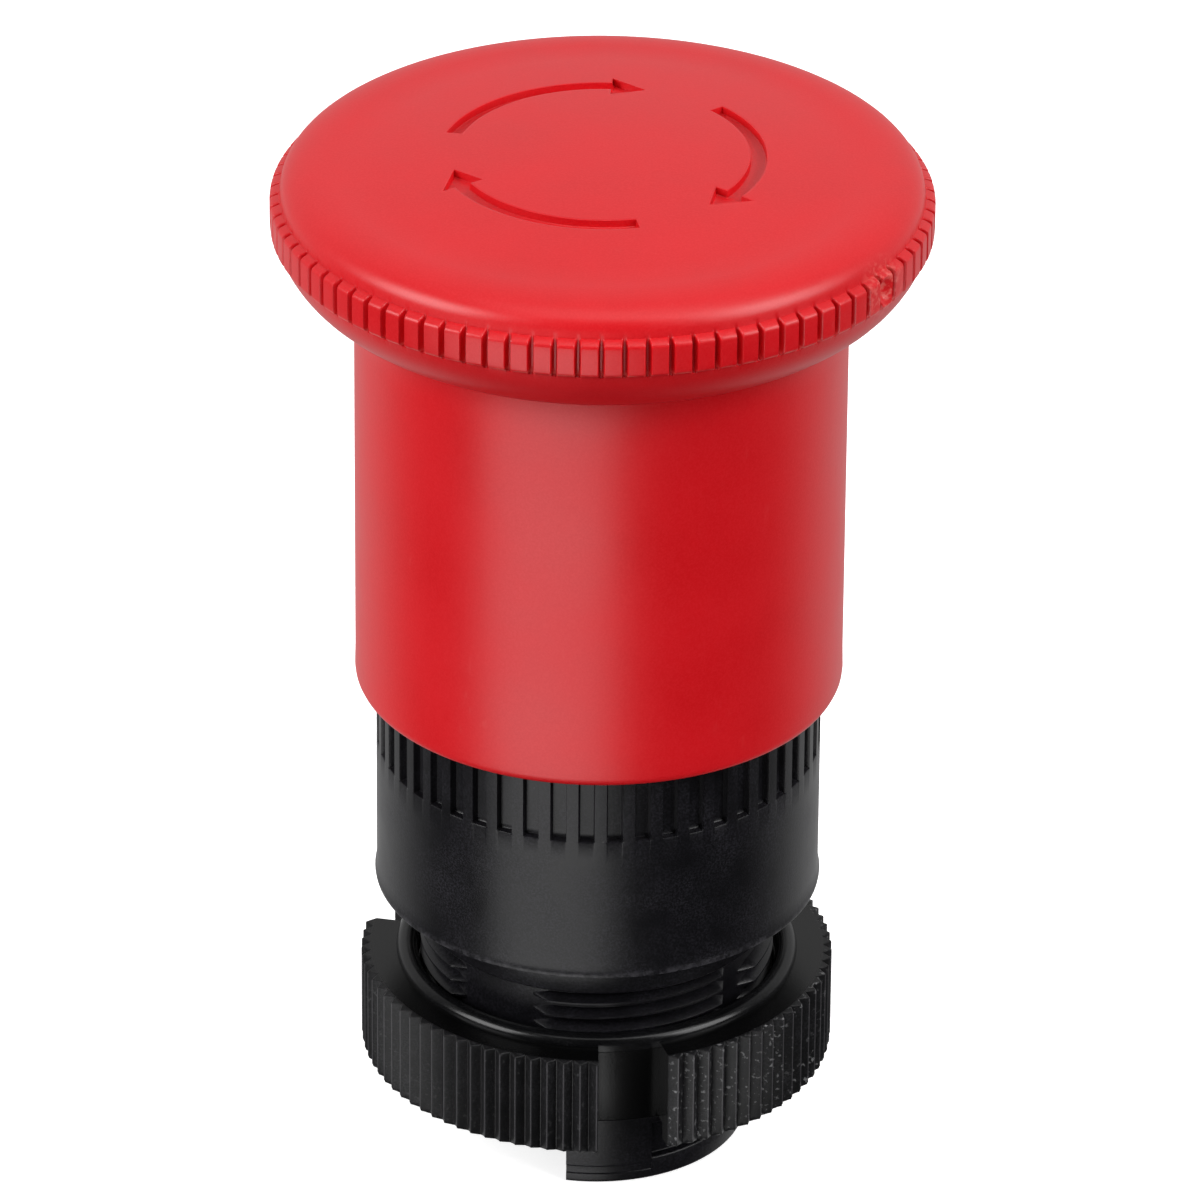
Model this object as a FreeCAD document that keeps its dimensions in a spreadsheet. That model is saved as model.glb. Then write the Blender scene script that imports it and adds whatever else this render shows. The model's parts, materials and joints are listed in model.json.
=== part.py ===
import FreeCAD, Part
import math
import os
import re

import Sketcher

# Emergency stop operator for a 22 mm panel cut-out: a 40 mm turn-to-release mushroom head.
# Millimetres. The origin is the centre of the bezel's underside, which rests on the panel's
# front face. +Z points out of the panel, along the push axis. The front, where the nut's
# first grip gap is, faces -Y.

PARTS = "parts"

DIMENSIONS = {
    # mushroom cap
    "cap_radius": 20.0,
    "cap_crown_top": 49.7,
    "cap_crown_sphere": 127.0,
    "cap_shoulder_radius": 19.4,
    "cap_shoulder_round": 1.3,
    "cap_teeth": 90,
    "cap_tooth_depth": 0.55,
    "cap_tooth_gap": 0.4,
    "cap_tooth_bottom": 44.65,
    "cap_tooth_top": 46.55,
    "cap_tooth_bevel": 0.25,
    "cap_brim_round": 5.3,
    "cap_brim_bottom": 40.65,
    "cap_skirt_radius": 14.97,
    "cap_skirt_bottom": 14.2,
    "cap_skirt_bore": 13.95,
    "cap_cavity_top": 43.4,
    "cap_ceiling": 46.6,
    "cap_boss_radius": 5.2,
    "cap_boss_bottom": 42.2,
    "cap_rib_width": 1.2,
    "cap_ribs": 6,
    "arrow_ring_radius": 9.35,
    "arrow_width": 1.0,
    "arrow_depth": 0.8,
    "arrow_head_width": 2.6,
    "arrow_tail_angle": 163.0,
    "arrow_neck_angle": 87.0,
    "arrow_tip_angle": 74.0,
    "arrows": 3,
    # bezel body: barrel in front of the panel, threaded neck and bayonet sleeve behind it
    "barrel_radius": 13.7,
    "barrel_top": 37.4,
    "barrel_edge_round": 0.5,
    "pocket_bottom": 9.6,
    "pocket_top": 21.6,
    "pocket_depth": 0.45,
    "pocket_angle": 3.9,
    "pocket_offset_angle": -2.8,
    "pockets": 50,
    "chamber_radius": 10.7,
    "chamber_floor": 4.8,
    "latch_seat": 27.5,
    "latch_bore": 11.4,
    "clip_groove_radius": 12.05,
    "clip_bottom": 36.2,
    "clip_height": 0.7,
    "wiper_groove_radius": 12.7,
    "wiper_bottom": 33.0,
    "wiper_height": 1.4,
    "neck_radius": 11.0,
    "collar_bottom": -2.7,
    "thread_bottom": -12.0,
    "thread_root": 10.35,
    "thread_pitch": 1.0,
    "thread_base_width": 0.8,
    "thread_crest_width": 0.2,
    "thread_top": -3.0,
    "thread_front_height": -3.45,
    "thread_wide_gap_centre": -35.5,
    "thread_wide_gap_angle": 39.0,
    "thread_narrow_gap_centre": 54.0,
    "thread_narrow_gap_angle": 18.0,
    "bush_seat": -6.0,
    "bush_seat_bore": 7.7,
    "bush_radius": 8.6,
    "sleeve_radius": 9.4,
    "sleeve_bore": 8.0,
    "sleeve_bottom": -17.35,
    "sleeve_rim_height": 1.5,
    "sleeve_groove_depth": 0.5,
    "sleeve_groove_top": -13.4,
    "sleeve_groove_centre": 153.0,
    "sleeve_groove_angle": 262.0,
    "sleeve_gap_centre": -43.5,
    "sleeve_gap_angle": 65.0,
    "sleeve_gap_top": -12.6,
    "gasket_inner": 11.5,
    "gasket_outer": 12.9,
    "gasket_height": 1.0,
    # mounting nut and its slip ring
    "nut_radius": 14.7,
    "nut_teeth": 90,
    "nut_tooth_depth": 0.5,
    "nut_tooth_offset_angle": 2.3,
    "nut_flange_top": -5.6,
    "nut_flange_bottom": -12.1,
    "nut_hub_radius": 12.5,
    "nut_step_radius": 13.2,
    "nut_hub_bottom": -10.97,
    "nut_seat": -5.95,
    "nut_bore": 11.15,
    "nut_thread_crest": 10.55,
    "nut_thread_base_width": 0.62,
    "nut_thread_crest_width": 0.16,
    "nut_gaps": 3,
    "nut_gap_angle": 17.6,
    "nut_gap_offset_angle": 9.5,
    "slip_ring_top": -5.0,
    "slip_ring_inner": 11.2,
    # plunger train
    "pusher_radius": 6.9,
    "pusher_top": 26.4,
    "pusher_flange_radius": 10.3,
    "pusher_flange_height": 2.0,
    "pusher_cup_radius": 5.3,
    "pusher_web_top": 18.0,
    "pusher_web_bottom": 11.0,
    "pusher_cavity_radius": 5.4,
    "pusher_bottom": -11.0,
    "pusher_key_width": 2.0,
    "pusher_key_radius": 7.7,
    "pusher_key_bottom": 0.0,
    "pusher_key_top": 14.0,
    "foot_height": 1.3,
    "foot_plug_height": 1.5,
    "bush_bore": 6.96,
    "bush_flange_height": 1.2,
    "spring_seat_height": 0.5,
    "return_spring_radius": 9.2,
    "return_spring_wire": 1.0,
    "return_spring_turns": 7.5,
    "turn_spring_radius": 4.55,
    "turn_spring_wire": 0.8,
    "turn_spring_bottom": 19.2,
    "turn_spring_turns": 4.5,
    "turn_spring_pitch": 1.1,
    "turn_spring_outer_leg": 1.9,
    "turn_spring_inner_leg": 1.3,
    # spindle
    "shaft_radius": 3.0,
    "shaft_clearance": 0.05,
    "shaft_top": 46.0,
    "shaft_bottom": 8.8,
    "shaft_flat": 2.4,
    "shaft_collar_radius": 3.8,
    "shaft_collar_bottom": 18.5,
    "latch_neck_radius": 2.6,
    "latch_neck_bottom": 27.9,
    "latch_neck_top": 30.1,
    "latch_land_bottom": 31.3,
    "latch_land_top": 32.4,
    "cam_top": 34.4,
    "cam_half_width": 2.6,
    "cam_half_length": 4.2,
    "cam_corner": 1.0,
    "circlip_height": 0.65,
    "circlip_groove_radius": 2.4,
    "circlip_radius": 4.6,
    "cap_clip_bottom": 43.6,
    "cap_clip_height": 0.7,
    "cap_clip_inner": 2.5,
    "cap_clip_outer": 3.7,
    # latch plate, latch spring, top guide and seals
    "latch_opening": 5.0,
    "latch_dish_floor": 28.4,
    "latch_dish_radius": 10.4,
    "latch_plate_top": 30.5,
    "latch_wire": 1.1,
    "latch_wire_height": 29.0,
    "latch_leg_offset": 3.2,
    "latch_leg_start": -8.0,
    "latch_bend_centre": 6.4,
    "latch_post_radius": 2.0,
    "latch_post_centre": 7.05,
    "guide_counterbore_top": 34.8,
    "guide_nose_radius": 9.8,
    "seal_bottom": 36.0,
    "seal_radius": 5.2,
    "fit_clearance": 0.05,
    "bumper_inner": 7.0,
    "bumper_outer": 9.8,
}

doc = FreeCAD.newDocument("emergency_stop")
sheet = doc.addObject("Spreadsheet::Sheet", "Sheet")


def fill_sheet():
    for row, (name, number) in enumerate(DIMENSIONS.items(), start=1):
        sheet.set(f"A{row}", name)
        sheet.set(f"B{row}", str(number))
        sheet.setAlias(f"B{row}", name)
    doc.recompute()


def bound(expression):
    """The expression with each dimension's name pointing at its cell."""
    return re.sub(r"[a-z_]+", cell_reference, expression)


def cell_reference(match):
    word = match.group()
    return f"Sheet.{word}" if word in DIMENSIONS else word


def number(expression):
    result = sheet.evalExpression(bound(expression))
    return float(getattr(result, "Value", result))


def bind(feature, **expressions):
    for prop, expression in expressions.items():
        feature.setExpression(prop, bound(expression))


def place(feature, height, turn="0"):
    """Put a feature at a height on the axis, turned about it."""
    feature.Placement = FreeCAD.Placement(
        FreeCAD.Vector(0, 0, number(height)),
        FreeCAD.Rotation(FreeCAD.Vector(0, 0, 1), number(turn)),
    )
    feature.setExpression(".Placement.Base.z", bound(height))
    if turn != "0":
        feature.setExpression(".Placement.Rotation.Angle", bound(turn))
    return feature


# ---------------------------------------------------------------- shared building blocks


def new_body(label):
    body = doc.addObject("PartDesign::Body", label + "_body")
    body.Label = label
    return body


def origin_feature(body, role):
    return next(item for item in body.Origin.OriginFeatures if item.Role == role)


def new_sketch(body, name, plane, height="0"):
    sketch = body.newObject("Sketcher::SketchObject", name)
    sketch.AttachmentSupport = [(origin_feature(body, plane), "")]
    sketch.MapMode = "FlatFace"
    if height != "0":
        sketch.setExpression(".AttachmentOffset.Base.z", bound(height))
    return sketch


def pin_point(sketch, index, point, x, y):
    """Tie one end of a sketch line to coordinates given as expressions."""
    for kind, expression in (("DistanceX", x), ("DistanceY", y)):
        row = sketch.addConstraint(
            Sketcher.Constraint(kind, -1, 1, index, point, number(expression))
        )
        sketch.setExpression(f"Constraints[{row}]", bound(expression))


def outline(sketch, points, arcs=None):
    """Draw a closed outline through points given as expression pairs.

    arcs maps the number of a side to the radius expression of the arc that replaces it. The
    arc bulges to the left of the way round, or to the right if the radius is negative.
    """
    arcs = arcs or {}
    corners = [FreeCAD.Vector(number(x), number(y), 0) for x, y in points]
    count = len(points)
    for side in range(count):
        start, end = corners[side], corners[(side + 1) % count]
        if side in arcs:
            sketch.addGeometry(bulged(start, end, number(arcs[side])))
        else:
            sketch.addGeometry(Part.LineSegment(start, end))
    ends = [arc_ends(sketch, side, corners[side]) for side in range(count)]
    for side in range(count):
        following = (side + 1) % count
        sketch.addConstraint(
            Sketcher.Constraint("Coincident", side, ends[side][1], following, ends[following][0])
        )
    for side, (x, y) in enumerate(points):
        pin_point(sketch, side, ends[side][0], x, y)
    for side, radius in arcs.items():
        row = sketch.addConstraint(Sketcher.Constraint("Radius", side, abs(number(radius))))
        sketch.setExpression(f"Constraints[{row}]", bound(f"abs({radius})"))


def bulged(start, end, radius):
    """An arc from start to end that bulges to the left of the way for a positive radius."""
    chord = end - start
    half = chord.Length / 2
    side = FreeCAD.Vector(-chord.y, chord.x, 0).normalize()
    sagitta = abs(radius) - math.sqrt(radius * radius - half * half)
    middle = (start + end) * 0.5 + side * math.copysign(sagitta, radius)
    return Part.Arc(start, middle, end)


def arc_ends(sketch, side, start):
    """Which end numbers of a side are its start and its end, going round the outline."""
    first = sketch.getPoint(side, 1)
    return (1, 2) if first.distanceToPoint(start) < 1e-6 else (2, 1)


def revolve(body, name, points, arcs=None):
    sketch = new_sketch(body, name + "_profile", "XZ_Plane")
    outline(sketch, points, arcs)
    turned = body.newObject("PartDesign::Revolution", name)
    turned.Profile = sketch
    turned.ReferenceAxis = (sketch, ["V_Axis"])
    turned.Angle = 360
    sketch.Visibility = False
    body.Tip = turned
    doc.recompute()
    return turned


def ring_groove(body, name, inner, outer, bottom, top):
    """Cut a groove of rectangular section all the way round the axis."""
    sketch = new_sketch(body, name + "_profile", "XZ_Plane")
    outline(sketch, [(inner, bottom), (outer, bottom), (outer, top), (inner, top)])
    feature = body.newObject("PartDesign::Groove", name)
    feature.Profile = sketch
    feature.ReferenceAxis = (sketch, ["V_Axis"])
    feature.Angle = 360
    body.Tip = feature
    doc.recompute()


def extrude(body, kind, name, sketch, length, up=True):
    """Pad or pocket a sketch upwards (or downwards) by a length."""
    feature = body.newObject(kind, name)
    feature.Profile = sketch
    feature.Reversed = up if kind == "PartDesign::Pocket" else not up
    bind(feature, Length=length)
    body.Tip = feature
    doc.recompute()
    return feature


def polar(body, name, original, occurrences):
    pattern = body.newObject("PartDesign::PolarPattern", name)
    pattern.Originals = [original]
    pattern.Axis = (origin_feature(body, "Z_Axis"), [""])
    pattern.Angle = 360
    bind(pattern, Occurrences=occurrences)
    body.Tip = pattern
    doc.recompute()
    return pattern


def round_edges(body, name, base, radius, circles):
    """Round the circular edges given as (radius, height) expression pairs."""
    wanted = [(number(r), number(z)) for r, z in circles]
    names = [
        f"Edge{index}"
        for index, edge in enumerate(base.Shape.Edges, start=1)
        if any(is_circle(edge, r, z) for r, z in wanted)
    ]
    feature = body.newObject("PartDesign::Fillet", name)
    feature.Base = (base, names)
    bind(feature, Radius=radius)
    body.Tip = feature
    doc.recompute()


def is_circle(edge, radius, height):
    if edge.Degenerated or not isinstance(edge.Curve, Part.Circle):
        return False
    curve = edge.Curve
    return abs(curve.Radius - radius) < 1e-4 and abs(curve.Center.z - height) < 1e-4


def cylinder(name, radius, bottom, top):
    solid = doc.addObject("Part::Cylinder", name)
    bind(solid, Radius=radius, Height=f"{top} - ( {bottom} )")
    return place(solid, bottom)


def cut(label, base, *tools):
    """Subtract the tools from the base, one after the other."""
    result = base
    for index, tool in enumerate(tools):
        step = doc.addObject("Part::Cut", f"{label}_cut_{index}")
        step.Base = result
        step.Tool = tool
        result = step
    result.Label = label
    return result


def fuse(label, *solids):
    joined = doc.addObject("Part::MultiFuse", label + "_fuse")
    joined.Shapes = list(solids)
    joined.Refine = False
    joined.Label = label
    return joined


def ring(label, outer, inner, bottom, top):
    hole_bottom = f"{bottom} - 1"
    hole_top = f"{top} + 1"
    return cut(
        label,
        cylinder(label + "_outer", outer, bottom, top),
        cylinder(label + "_hole", inner, hole_bottom, hole_top),
    )


def wedge(name, inner, outer, bottom, top, centre_angle, width_angle):
    """A sector of a thick ring; angles in degrees from the front (-Y) towards +X."""
    solid = doc.addObject("Part::Cylinder", name + "_sector")
    bind(solid, Radius=outer, Height=f"{top} - ( {bottom} )", Angle=width_angle)
    place(solid, bottom, f"{centre_angle} - 90 - ( {width_angle} ) / 2")
    core = cylinder(name + "_core", inner, f"{bottom} - 1", f"{top} + 1")
    return cut(name, solid, core)


def split_ring(label, outer, inner, bottom, top, slot_width):
    """A retaining ring with a slot through one side, so that it can be sprung into place."""
    slot = doc.addObject("Part::Box", label + "_slot")
    bind(slot, Length=f"{outer} + 1", Width=slot_width, Height=f"{top} - ({bottom}) + 2")
    slot.Placement = FreeCAD.Placement(
        FreeCAD.Vector(0, -number(slot_width) / 2, number(bottom) - 1), FreeCAD.Rotation()
    )
    slot.setExpression(".Placement.Base.y", bound(f"-({slot_width}) / 2"))
    slot.setExpression(".Placement.Base.z", bound(f"{bottom} - 1"))
    blank = ring(label + "_blank", outer, inner, bottom, top)
    return cut(label, blank, slot)


def radial_hole(name, height, start, end, direction):
    """A hole for a spring leg, along a radius in the direction given in degrees from +X."""
    hole = doc.addObject("Part::Cylinder", name)
    bind(hole, Radius="turn_spring_wire / 2 + 0.1", Height=f"{end} - ({start})")
    angle = math.radians(number(direction))
    along = FreeCAD.Vector(math.cos(angle), math.sin(angle), 0)
    base = along * number(start) + FreeCAD.Vector(0, 0, number(height))
    hole.Placement = FreeCAD.Placement(
        base, FreeCAD.Rotation(FreeCAD.Vector(0, 0, 1), along)
    )
    return hole


def stored_shape(label, shape):
    """A sub-part whose shape is worked out here from the sheet's numbers."""
    feature = doc.addObject("Part::Feature", label)
    feature.Shape = shape
    feature.Label = label
    return feature


def swept_wire(path, thickness):
    """A round wire swept along a path that starts anywhere."""
    start = path.Edges[0]
    point = start.valueAt(start.FirstParameter)
    along = start.tangentAt(start.FirstParameter)
    section = Part.Wire(Part.makeCircle(thickness / 2, point, along))
    return path.makePipeShell([section], True, False)


def coil_path(radius, height, turns):
    """A right-hand helix that starts on +X, made of eight cubic curves to a turn."""
    spans = round(8 * turns)
    sweep = 2 * math.pi * turns / spans
    handle = 4 / 3 * math.tan(sweep / 4) / sweep
    rise = height / spans

    def spot(angle):
        return FreeCAD.Vector(
            radius * math.cos(angle), radius * math.sin(angle), rise * angle / sweep
        )

    def stride(angle):
        across, along = -radius * math.sin(angle), radius * math.cos(angle)
        return FreeCAD.Vector(sweep * across, sweep * along, rise) * handle

    edges = []
    for index in range(spans):
        start, end = sweep * index, sweep * (index + 1)
        curve = Part.BezierCurve()
        curve.setPoles([spot(start), spot(start) + stride(start), spot(end) - stride(end), spot(end)])
        edges.append(curve.toShape())
    return Part.Wire(edges)


def thread_ridge(root, crest, base_width, crest_width, bottom, top, front_height):
    """A right-hand helical ridge that rises from a root radius to a crest radius.

    It is trimmed to lie between bottom and top, and its middle passes the front (-Y) at
    front_height and at every whole pitch from there.
    """
    pitch = number("thread_pitch")
    start_height = bottom - pitch
    sink = math.copysign(0.15, root - crest)
    corners = [
        FreeCAD.Vector(root + sink, 0, -base_width / 2),
        FreeCAD.Vector(root, 0, -base_width / 2),
        FreeCAD.Vector(crest, 0, -crest_width / 2),
        FreeCAD.Vector(crest, 0, crest_width / 2),
        FreeCAD.Vector(root, 0, base_width / 2),
        FreeCAD.Vector(root + sink, 0, base_width / 2),
    ]
    section = Part.makePolygon(corners + corners[:1])
    helix = Part.makeHelix(pitch, top - bottom + 2 * pitch, root)
    ridge = Part.Wire(helix).makePipeShell([section], True, True)
    phase = 360 * ((start_height - front_height) / pitch + 0.75)
    ridge.rotate(FreeCAD.Vector(), FreeCAD.Vector(0, 0, 1), phase)
    ridge.translate(FreeCAD.Vector(0, 0, start_height))
    reach = max(root, crest) + 2
    slab = Part.makeCylinder(reach, top - bottom, FreeCAD.Vector(0, 0, bottom))
    return ridge.common(slab)


def double_d(radius, flat):
    """Points and arcs of a round section with two flats, going round counter-clockwise."""
    half = f"sqrt(({radius}) ^ 2 - ({flat}) ^ 2)"
    points = [
        (half, f"-({flat})"),
        (half, f"{flat}"),
        (f"-{half}", f"{flat}"),
        (f"-{half}", f"-({flat})"),
    ]
    return points, {0: f"-({radius})", 2: f"-({radius})"}


# ---------------------------------------------------------------- mushroom cap


def mushroom_cap():
    body = new_body("mushroom_cap")
    shoulder = (
        "cap_crown_top - cap_crown_sphere"
        " + sqrt(cap_crown_sphere ^ 2 - cap_shoulder_radius ^ 2)"
    )
    turned = revolve(
        body,
        "cap_shell",
        [
            ("0", "cap_crown_top"),
            ("cap_shoulder_radius", shoulder),
            ("cap_shoulder_radius", "cap_tooth_top + 0.4"),
            ("cap_radius", "cap_tooth_top"),
            ("cap_radius", "cap_tooth_bottom + cap_tooth_bevel"),
            ("cap_radius - cap_tooth_bevel", "cap_tooth_bottom"),
            ("cap_skirt_radius", "cap_brim_bottom"),
            ("cap_skirt_radius", "cap_skirt_bottom"),
            ("cap_skirt_bore", "cap_skirt_bottom"),
            ("cap_skirt_bore", "cap_cavity_top"),
            ("cap_skirt_bore - 1.4", "cap_cavity_top + 2"),
            ("cap_boss_radius", "cap_ceiling"),
            ("cap_boss_radius", "cap_boss_bottom"),
            ("0", "cap_boss_bottom"),
        ],
        {0: "cap_crown_sphere", 5: "cap_brim_round"},
    )
    shoulder_edge = [("cap_shoulder_radius", shoulder)]
    round_edges(body, "cap_shoulder", turned, "cap_shoulder_round", shoulder_edge)
    cap_ribs(body)
    cap_socket(body)
    cap_teeth(body)
    arrow_recesses(body)
    return body


def cap_ribs(body):
    sketch = new_sketch(body, "cap_rib_profile", "XY_Plane", "cap_cavity_top + 0.6")
    inner, outer = "cap_boss_radius - 0.5", "cap_skirt_bore + 0.3"
    low, high = "-cap_rib_width / 2", "cap_rib_width / 2"
    outline(sketch, [(inner, low), (outer, low), (outer, high), (inner, high)])
    rib = extrude(body, "PartDesign::Pad", "cap_rib", sketch, "3")
    polar(body, "cap_all_ribs", rib, "cap_ribs")


def cap_socket(body):
    """The boss's bore takes the spindle's flatted end and the snap ring that holds it."""
    sketch = new_sketch(body, "cap_socket_profile", "XY_Plane", "cap_boss_bottom")
    points, arcs = double_d("shaft_radius + shaft_clearance", "shaft_flat + shaft_clearance")
    outline(sketch, points, arcs)
    depth = "shaft_top - cap_boss_bottom + 0.1"
    extrude(body, "PartDesign::Pocket", "cap_socket", sketch, depth)
    ring_groove(body, "cap_clip_groove", "shaft_flat - 0.4", "cap_clip_outer + 0.05",
                "cap_clip_bottom - 0.05", "cap_clip_bottom + cap_clip_height + 0.05")


def cap_teeth(body):
    sketch = new_sketch(body, "cap_tooth_gap_profile", "XY_Plane", "cap_tooth_bottom - 0.15")
    floor, mouth = "-(cap_radius - cap_tooth_depth)", "-(cap_radius + 0.3)"
    half_floor, half_mouth = "cap_tooth_gap / 2", "cap_tooth_gap / 2 + 0.12"
    outline(
        sketch,
        [
            (f"-({half_floor})", floor),
            (f"-({half_mouth})", mouth),
            (half_mouth, mouth),
            (half_floor, floor),
        ],
    )
    height = "cap_tooth_top - cap_tooth_bottom + 0.9"
    gap = extrude(body, "PartDesign::Pocket", "cap_tooth_gap_cut", sketch, height)
    polar(body, "cap_knurl", gap, "cap_teeth")


def arrow_recesses(body):
    """Three curved arrows round the crown that show which way the cap turns to release."""
    sketch = new_sketch(body, "arrow_profile", "XY_Plane", "cap_crown_top + 0.5")
    inner = "arrow_ring_radius - arrow_width / 2"
    outer = "arrow_ring_radius + arrow_width / 2"
    head_inner = "arrow_ring_radius - arrow_head_width / 2"
    head_outer = "arrow_ring_radius + arrow_head_width / 2"
    places = [
        (inner, "arrow_tail_angle"),
        (outer, "arrow_tail_angle"),
        (outer, "arrow_neck_angle"),
        (head_outer, "arrow_neck_angle"),
        ("arrow_ring_radius - 0.2", "arrow_tip_angle"),
        (head_inner, "arrow_neck_angle"),
        (inner, "arrow_neck_angle"),
    ]
    points = [(f"({r}) * cos({a} * 1 deg)", f"({r}) * sin({a} * 1 deg)") for r, a in places]
    outline(sketch, points, {1: f"{outer}", 6: f"-({inner})"})
    arrow = extrude(body, "PartDesign::Pocket", "arrow", sketch, "arrow_depth + 0.5", up=False)
    polar(body, "arrow_ring", arrow, "arrows")


# ---------------------------------------------------------------- bezel body


def bezel_body():
    body = new_body("bezel_blank")
    turned = revolve(
        body,
        "bezel_blank_shell",
        [
            ("latch_bore", "barrel_top"),
            ("barrel_radius", "barrel_top"),
            ("barrel_radius", "0"),
            ("neck_radius", "0"),
            ("neck_radius", "collar_bottom"),
            ("thread_root", "collar_bottom - 0.3"),
            ("thread_root", "thread_bottom"),
            ("sleeve_radius", "thread_bottom"),
            ("sleeve_radius", "sleeve_bottom"),
            ("sleeve_bore", "sleeve_bottom"),
            ("sleeve_bore", "bush_seat - 2"),
            ("bush_seat_bore", "bush_seat - 2"),
            ("bush_seat_bore", "bush_seat"),
            ("bush_radius", "bush_seat"),
            ("bush_radius", "chamber_floor"),
            ("chamber_radius", "chamber_floor"),
            ("chamber_radius", "latch_seat"),
            ("latch_bore", "latch_seat"),
        ],
    )
    outer_edges = [("barrel_radius", "0"), ("barrel_radius", "barrel_top")]
    round_edges(body, "bezel_edges", turned, "barrel_edge_round", outer_edges)
    ring_groove(body, "clip_groove", "latch_bore - 0.3", "clip_groove_radius",
                "clip_bottom", "clip_bottom + clip_height + 0.05")
    ring_groove(body, "wiper_groove", "wiper_groove_radius", "barrel_radius + 0.3",
                "wiper_bottom", "wiper_bottom + wiper_height")
    ring_groove(body, "gasket_groove", "gasket_inner", "gasket_outer",
                "-0.3", "gasket_height")
    barrel_pockets(body)
    sleeve_gap = wedge("sleeve_gap", "sleeve_bore - 1", "sleeve_radius + 1",
                       "sleeve_bottom - 1", "sleeve_gap_top",
                       "sleeve_gap_centre", "sleeve_gap_angle")
    sleeve_groove = wedge("sleeve_groove", "sleeve_radius - sleeve_groove_depth",
                          "sleeve_radius + 1", "sleeve_bottom + sleeve_rim_height",
                          "sleeve_groove_top", "sleeve_groove_centre", "sleeve_groove_angle")
    blank = cut("bezel_without_thread", body, sleeve_gap, sleeve_groove)
    return fuse("bezel_body", blank, neck_thread())


def barrel_pockets(body):
    """The grip pockets round the barrel, the lower ends of which show below the cap."""
    sketch = new_sketch(body, "barrel_pocket_profile", "XY_Plane", "pocket_bottom")
    sketch.AttachmentOffset = FreeCAD.Placement(
        FreeCAD.Vector(0, 0, number("pocket_bottom")),
        FreeCAD.Rotation(FreeCAD.Vector(0, 0, 1), number("pocket_offset_angle")),
    )
    sketch.setExpression(".AttachmentOffset.Rotation.Angle", bound("pocket_offset_angle"))
    half = "barrel_radius * sin(pocket_angle * 0.5 deg)"
    floor, mouth = "-(barrel_radius - pocket_depth)", "-(barrel_radius + 0.5)"
    outline(sketch, [(f"-{half}", floor), (f"-{half}", mouth), (half, mouth), (half, floor)])
    height = "pocket_top - pocket_bottom"
    pocket = extrude(body, "PartDesign::Pocket", "barrel_pocket", sketch, height)
    polar(body, "barrel_grip", pocket, "pockets")


def neck_thread():
    """The neck's thread, broken into four sectors by two wide and two narrow gaps."""
    kinds = [
        ("thread_wide_gap_centre", "thread_wide_gap_angle"),
        ("thread_narrow_gap_centre", "thread_narrow_gap_angle"),
    ]
    ridge = stored_shape(
        "neck_thread_ridge",
        thread_ridge(
            number("thread_root"), number("neck_radius"),
            number("thread_base_width"), number("thread_crest_width"),
            number("thread_bottom"), number("thread_top"), number("thread_front_height"),
        ),
    )
    gaps = [
        wedge(f"{width}_{turn}", "thread_root", "neck_radius + 1",
              "thread_bottom - 1", "thread_top + 1", f"{centre} + {turn}", width)
        for centre, width in kinds
        for turn in (0, 180)
    ]
    return cut("neck_thread", ridge, *gaps)


# ---------------------------------------------------------------- mounting nut


def mounting_nut():
    body = new_body("nut_blank")
    seat_radius = "nut_hub_radius + fit_clearance"
    revolve(
        body,
        "nut_blank_shell",
        [
            ("nut_bore", "nut_seat"),
            (seat_radius, "nut_seat"),
            (seat_radius, "nut_flange_top"),
            ("nut_radius", "nut_flange_top"),
            ("nut_radius", "nut_flange_bottom"),
            ("nut_step_radius", "nut_flange_bottom"),
            ("nut_step_radius", "nut_hub_bottom"),
            ("nut_bore", "nut_hub_bottom"),
        ],
    )
    nut_serrations(body)
    gaps = [
        wedge(f"nut_gap_{index}", "nut_hub_radius", "nut_radius + 1", "nut_flange_bottom - 1",
              "nut_flange_top + 1", f"nut_gap_offset_angle + {index} * 360 / nut_gaps",
              "nut_gap_angle")
        for index in range(int(number("nut_gaps")))
    ]
    blank = cut("nut_without_thread", body, *gaps)
    half_pitch = number("thread_pitch") / 2
    thread = stored_shape(
        "nut_thread_ridge",
        thread_ridge(
            number("nut_bore"), number("nut_thread_crest"),
            number("nut_thread_base_width"), number("nut_thread_crest_width"),
            number("nut_hub_bottom"), number("nut_seat"),
            number("thread_front_height") + half_pitch,
        ),
    )
    return fuse("mounting_nut", blank, thread)


def nut_serrations(body):
    sketch = new_sketch(body, "nut_serration_profile", "XY_Plane", "nut_flange_bottom - 0.5")
    sketch.setExpression(".AttachmentOffset.Rotation.Angle", bound("nut_tooth_offset_angle"))
    half = "nut_radius * sin(180 deg / nut_teeth) - 0.03"
    root, tip, clear = "-(nut_radius - nut_tooth_depth)", "-nut_radius", "-(nut_radius + 0.5)"
    outline(
        sketch,
        [("0", root), (f"-({half})", tip), (f"-({half})", clear), (half, clear), (half, tip)],
    )
    height = "nut_flange_top - nut_flange_bottom + 1"
    serration = extrude(body, "PartDesign::Pocket", "nut_serration", sketch, height)
    polar(body, "nut_grip", serration, "nut_teeth")


def nut_slip_ring():
    body = new_body("nut_slip_ring")
    revolve(
        body,
        "slip_ring",
        [
            ("slip_ring_inner", "nut_seat"),
            ("slip_ring_inner", "nut_seat + 0.3"),
            ("slip_ring_inner + 0.6", "slip_ring_top - 0.15"),
            ("nut_hub_radius", "slip_ring_top - 0.35"),
            ("nut_hub_radius", "nut_seat"),
        ],
        {2: "0.5"},
    )
    return body


# ---------------------------------------------------------------- plunger train


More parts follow.
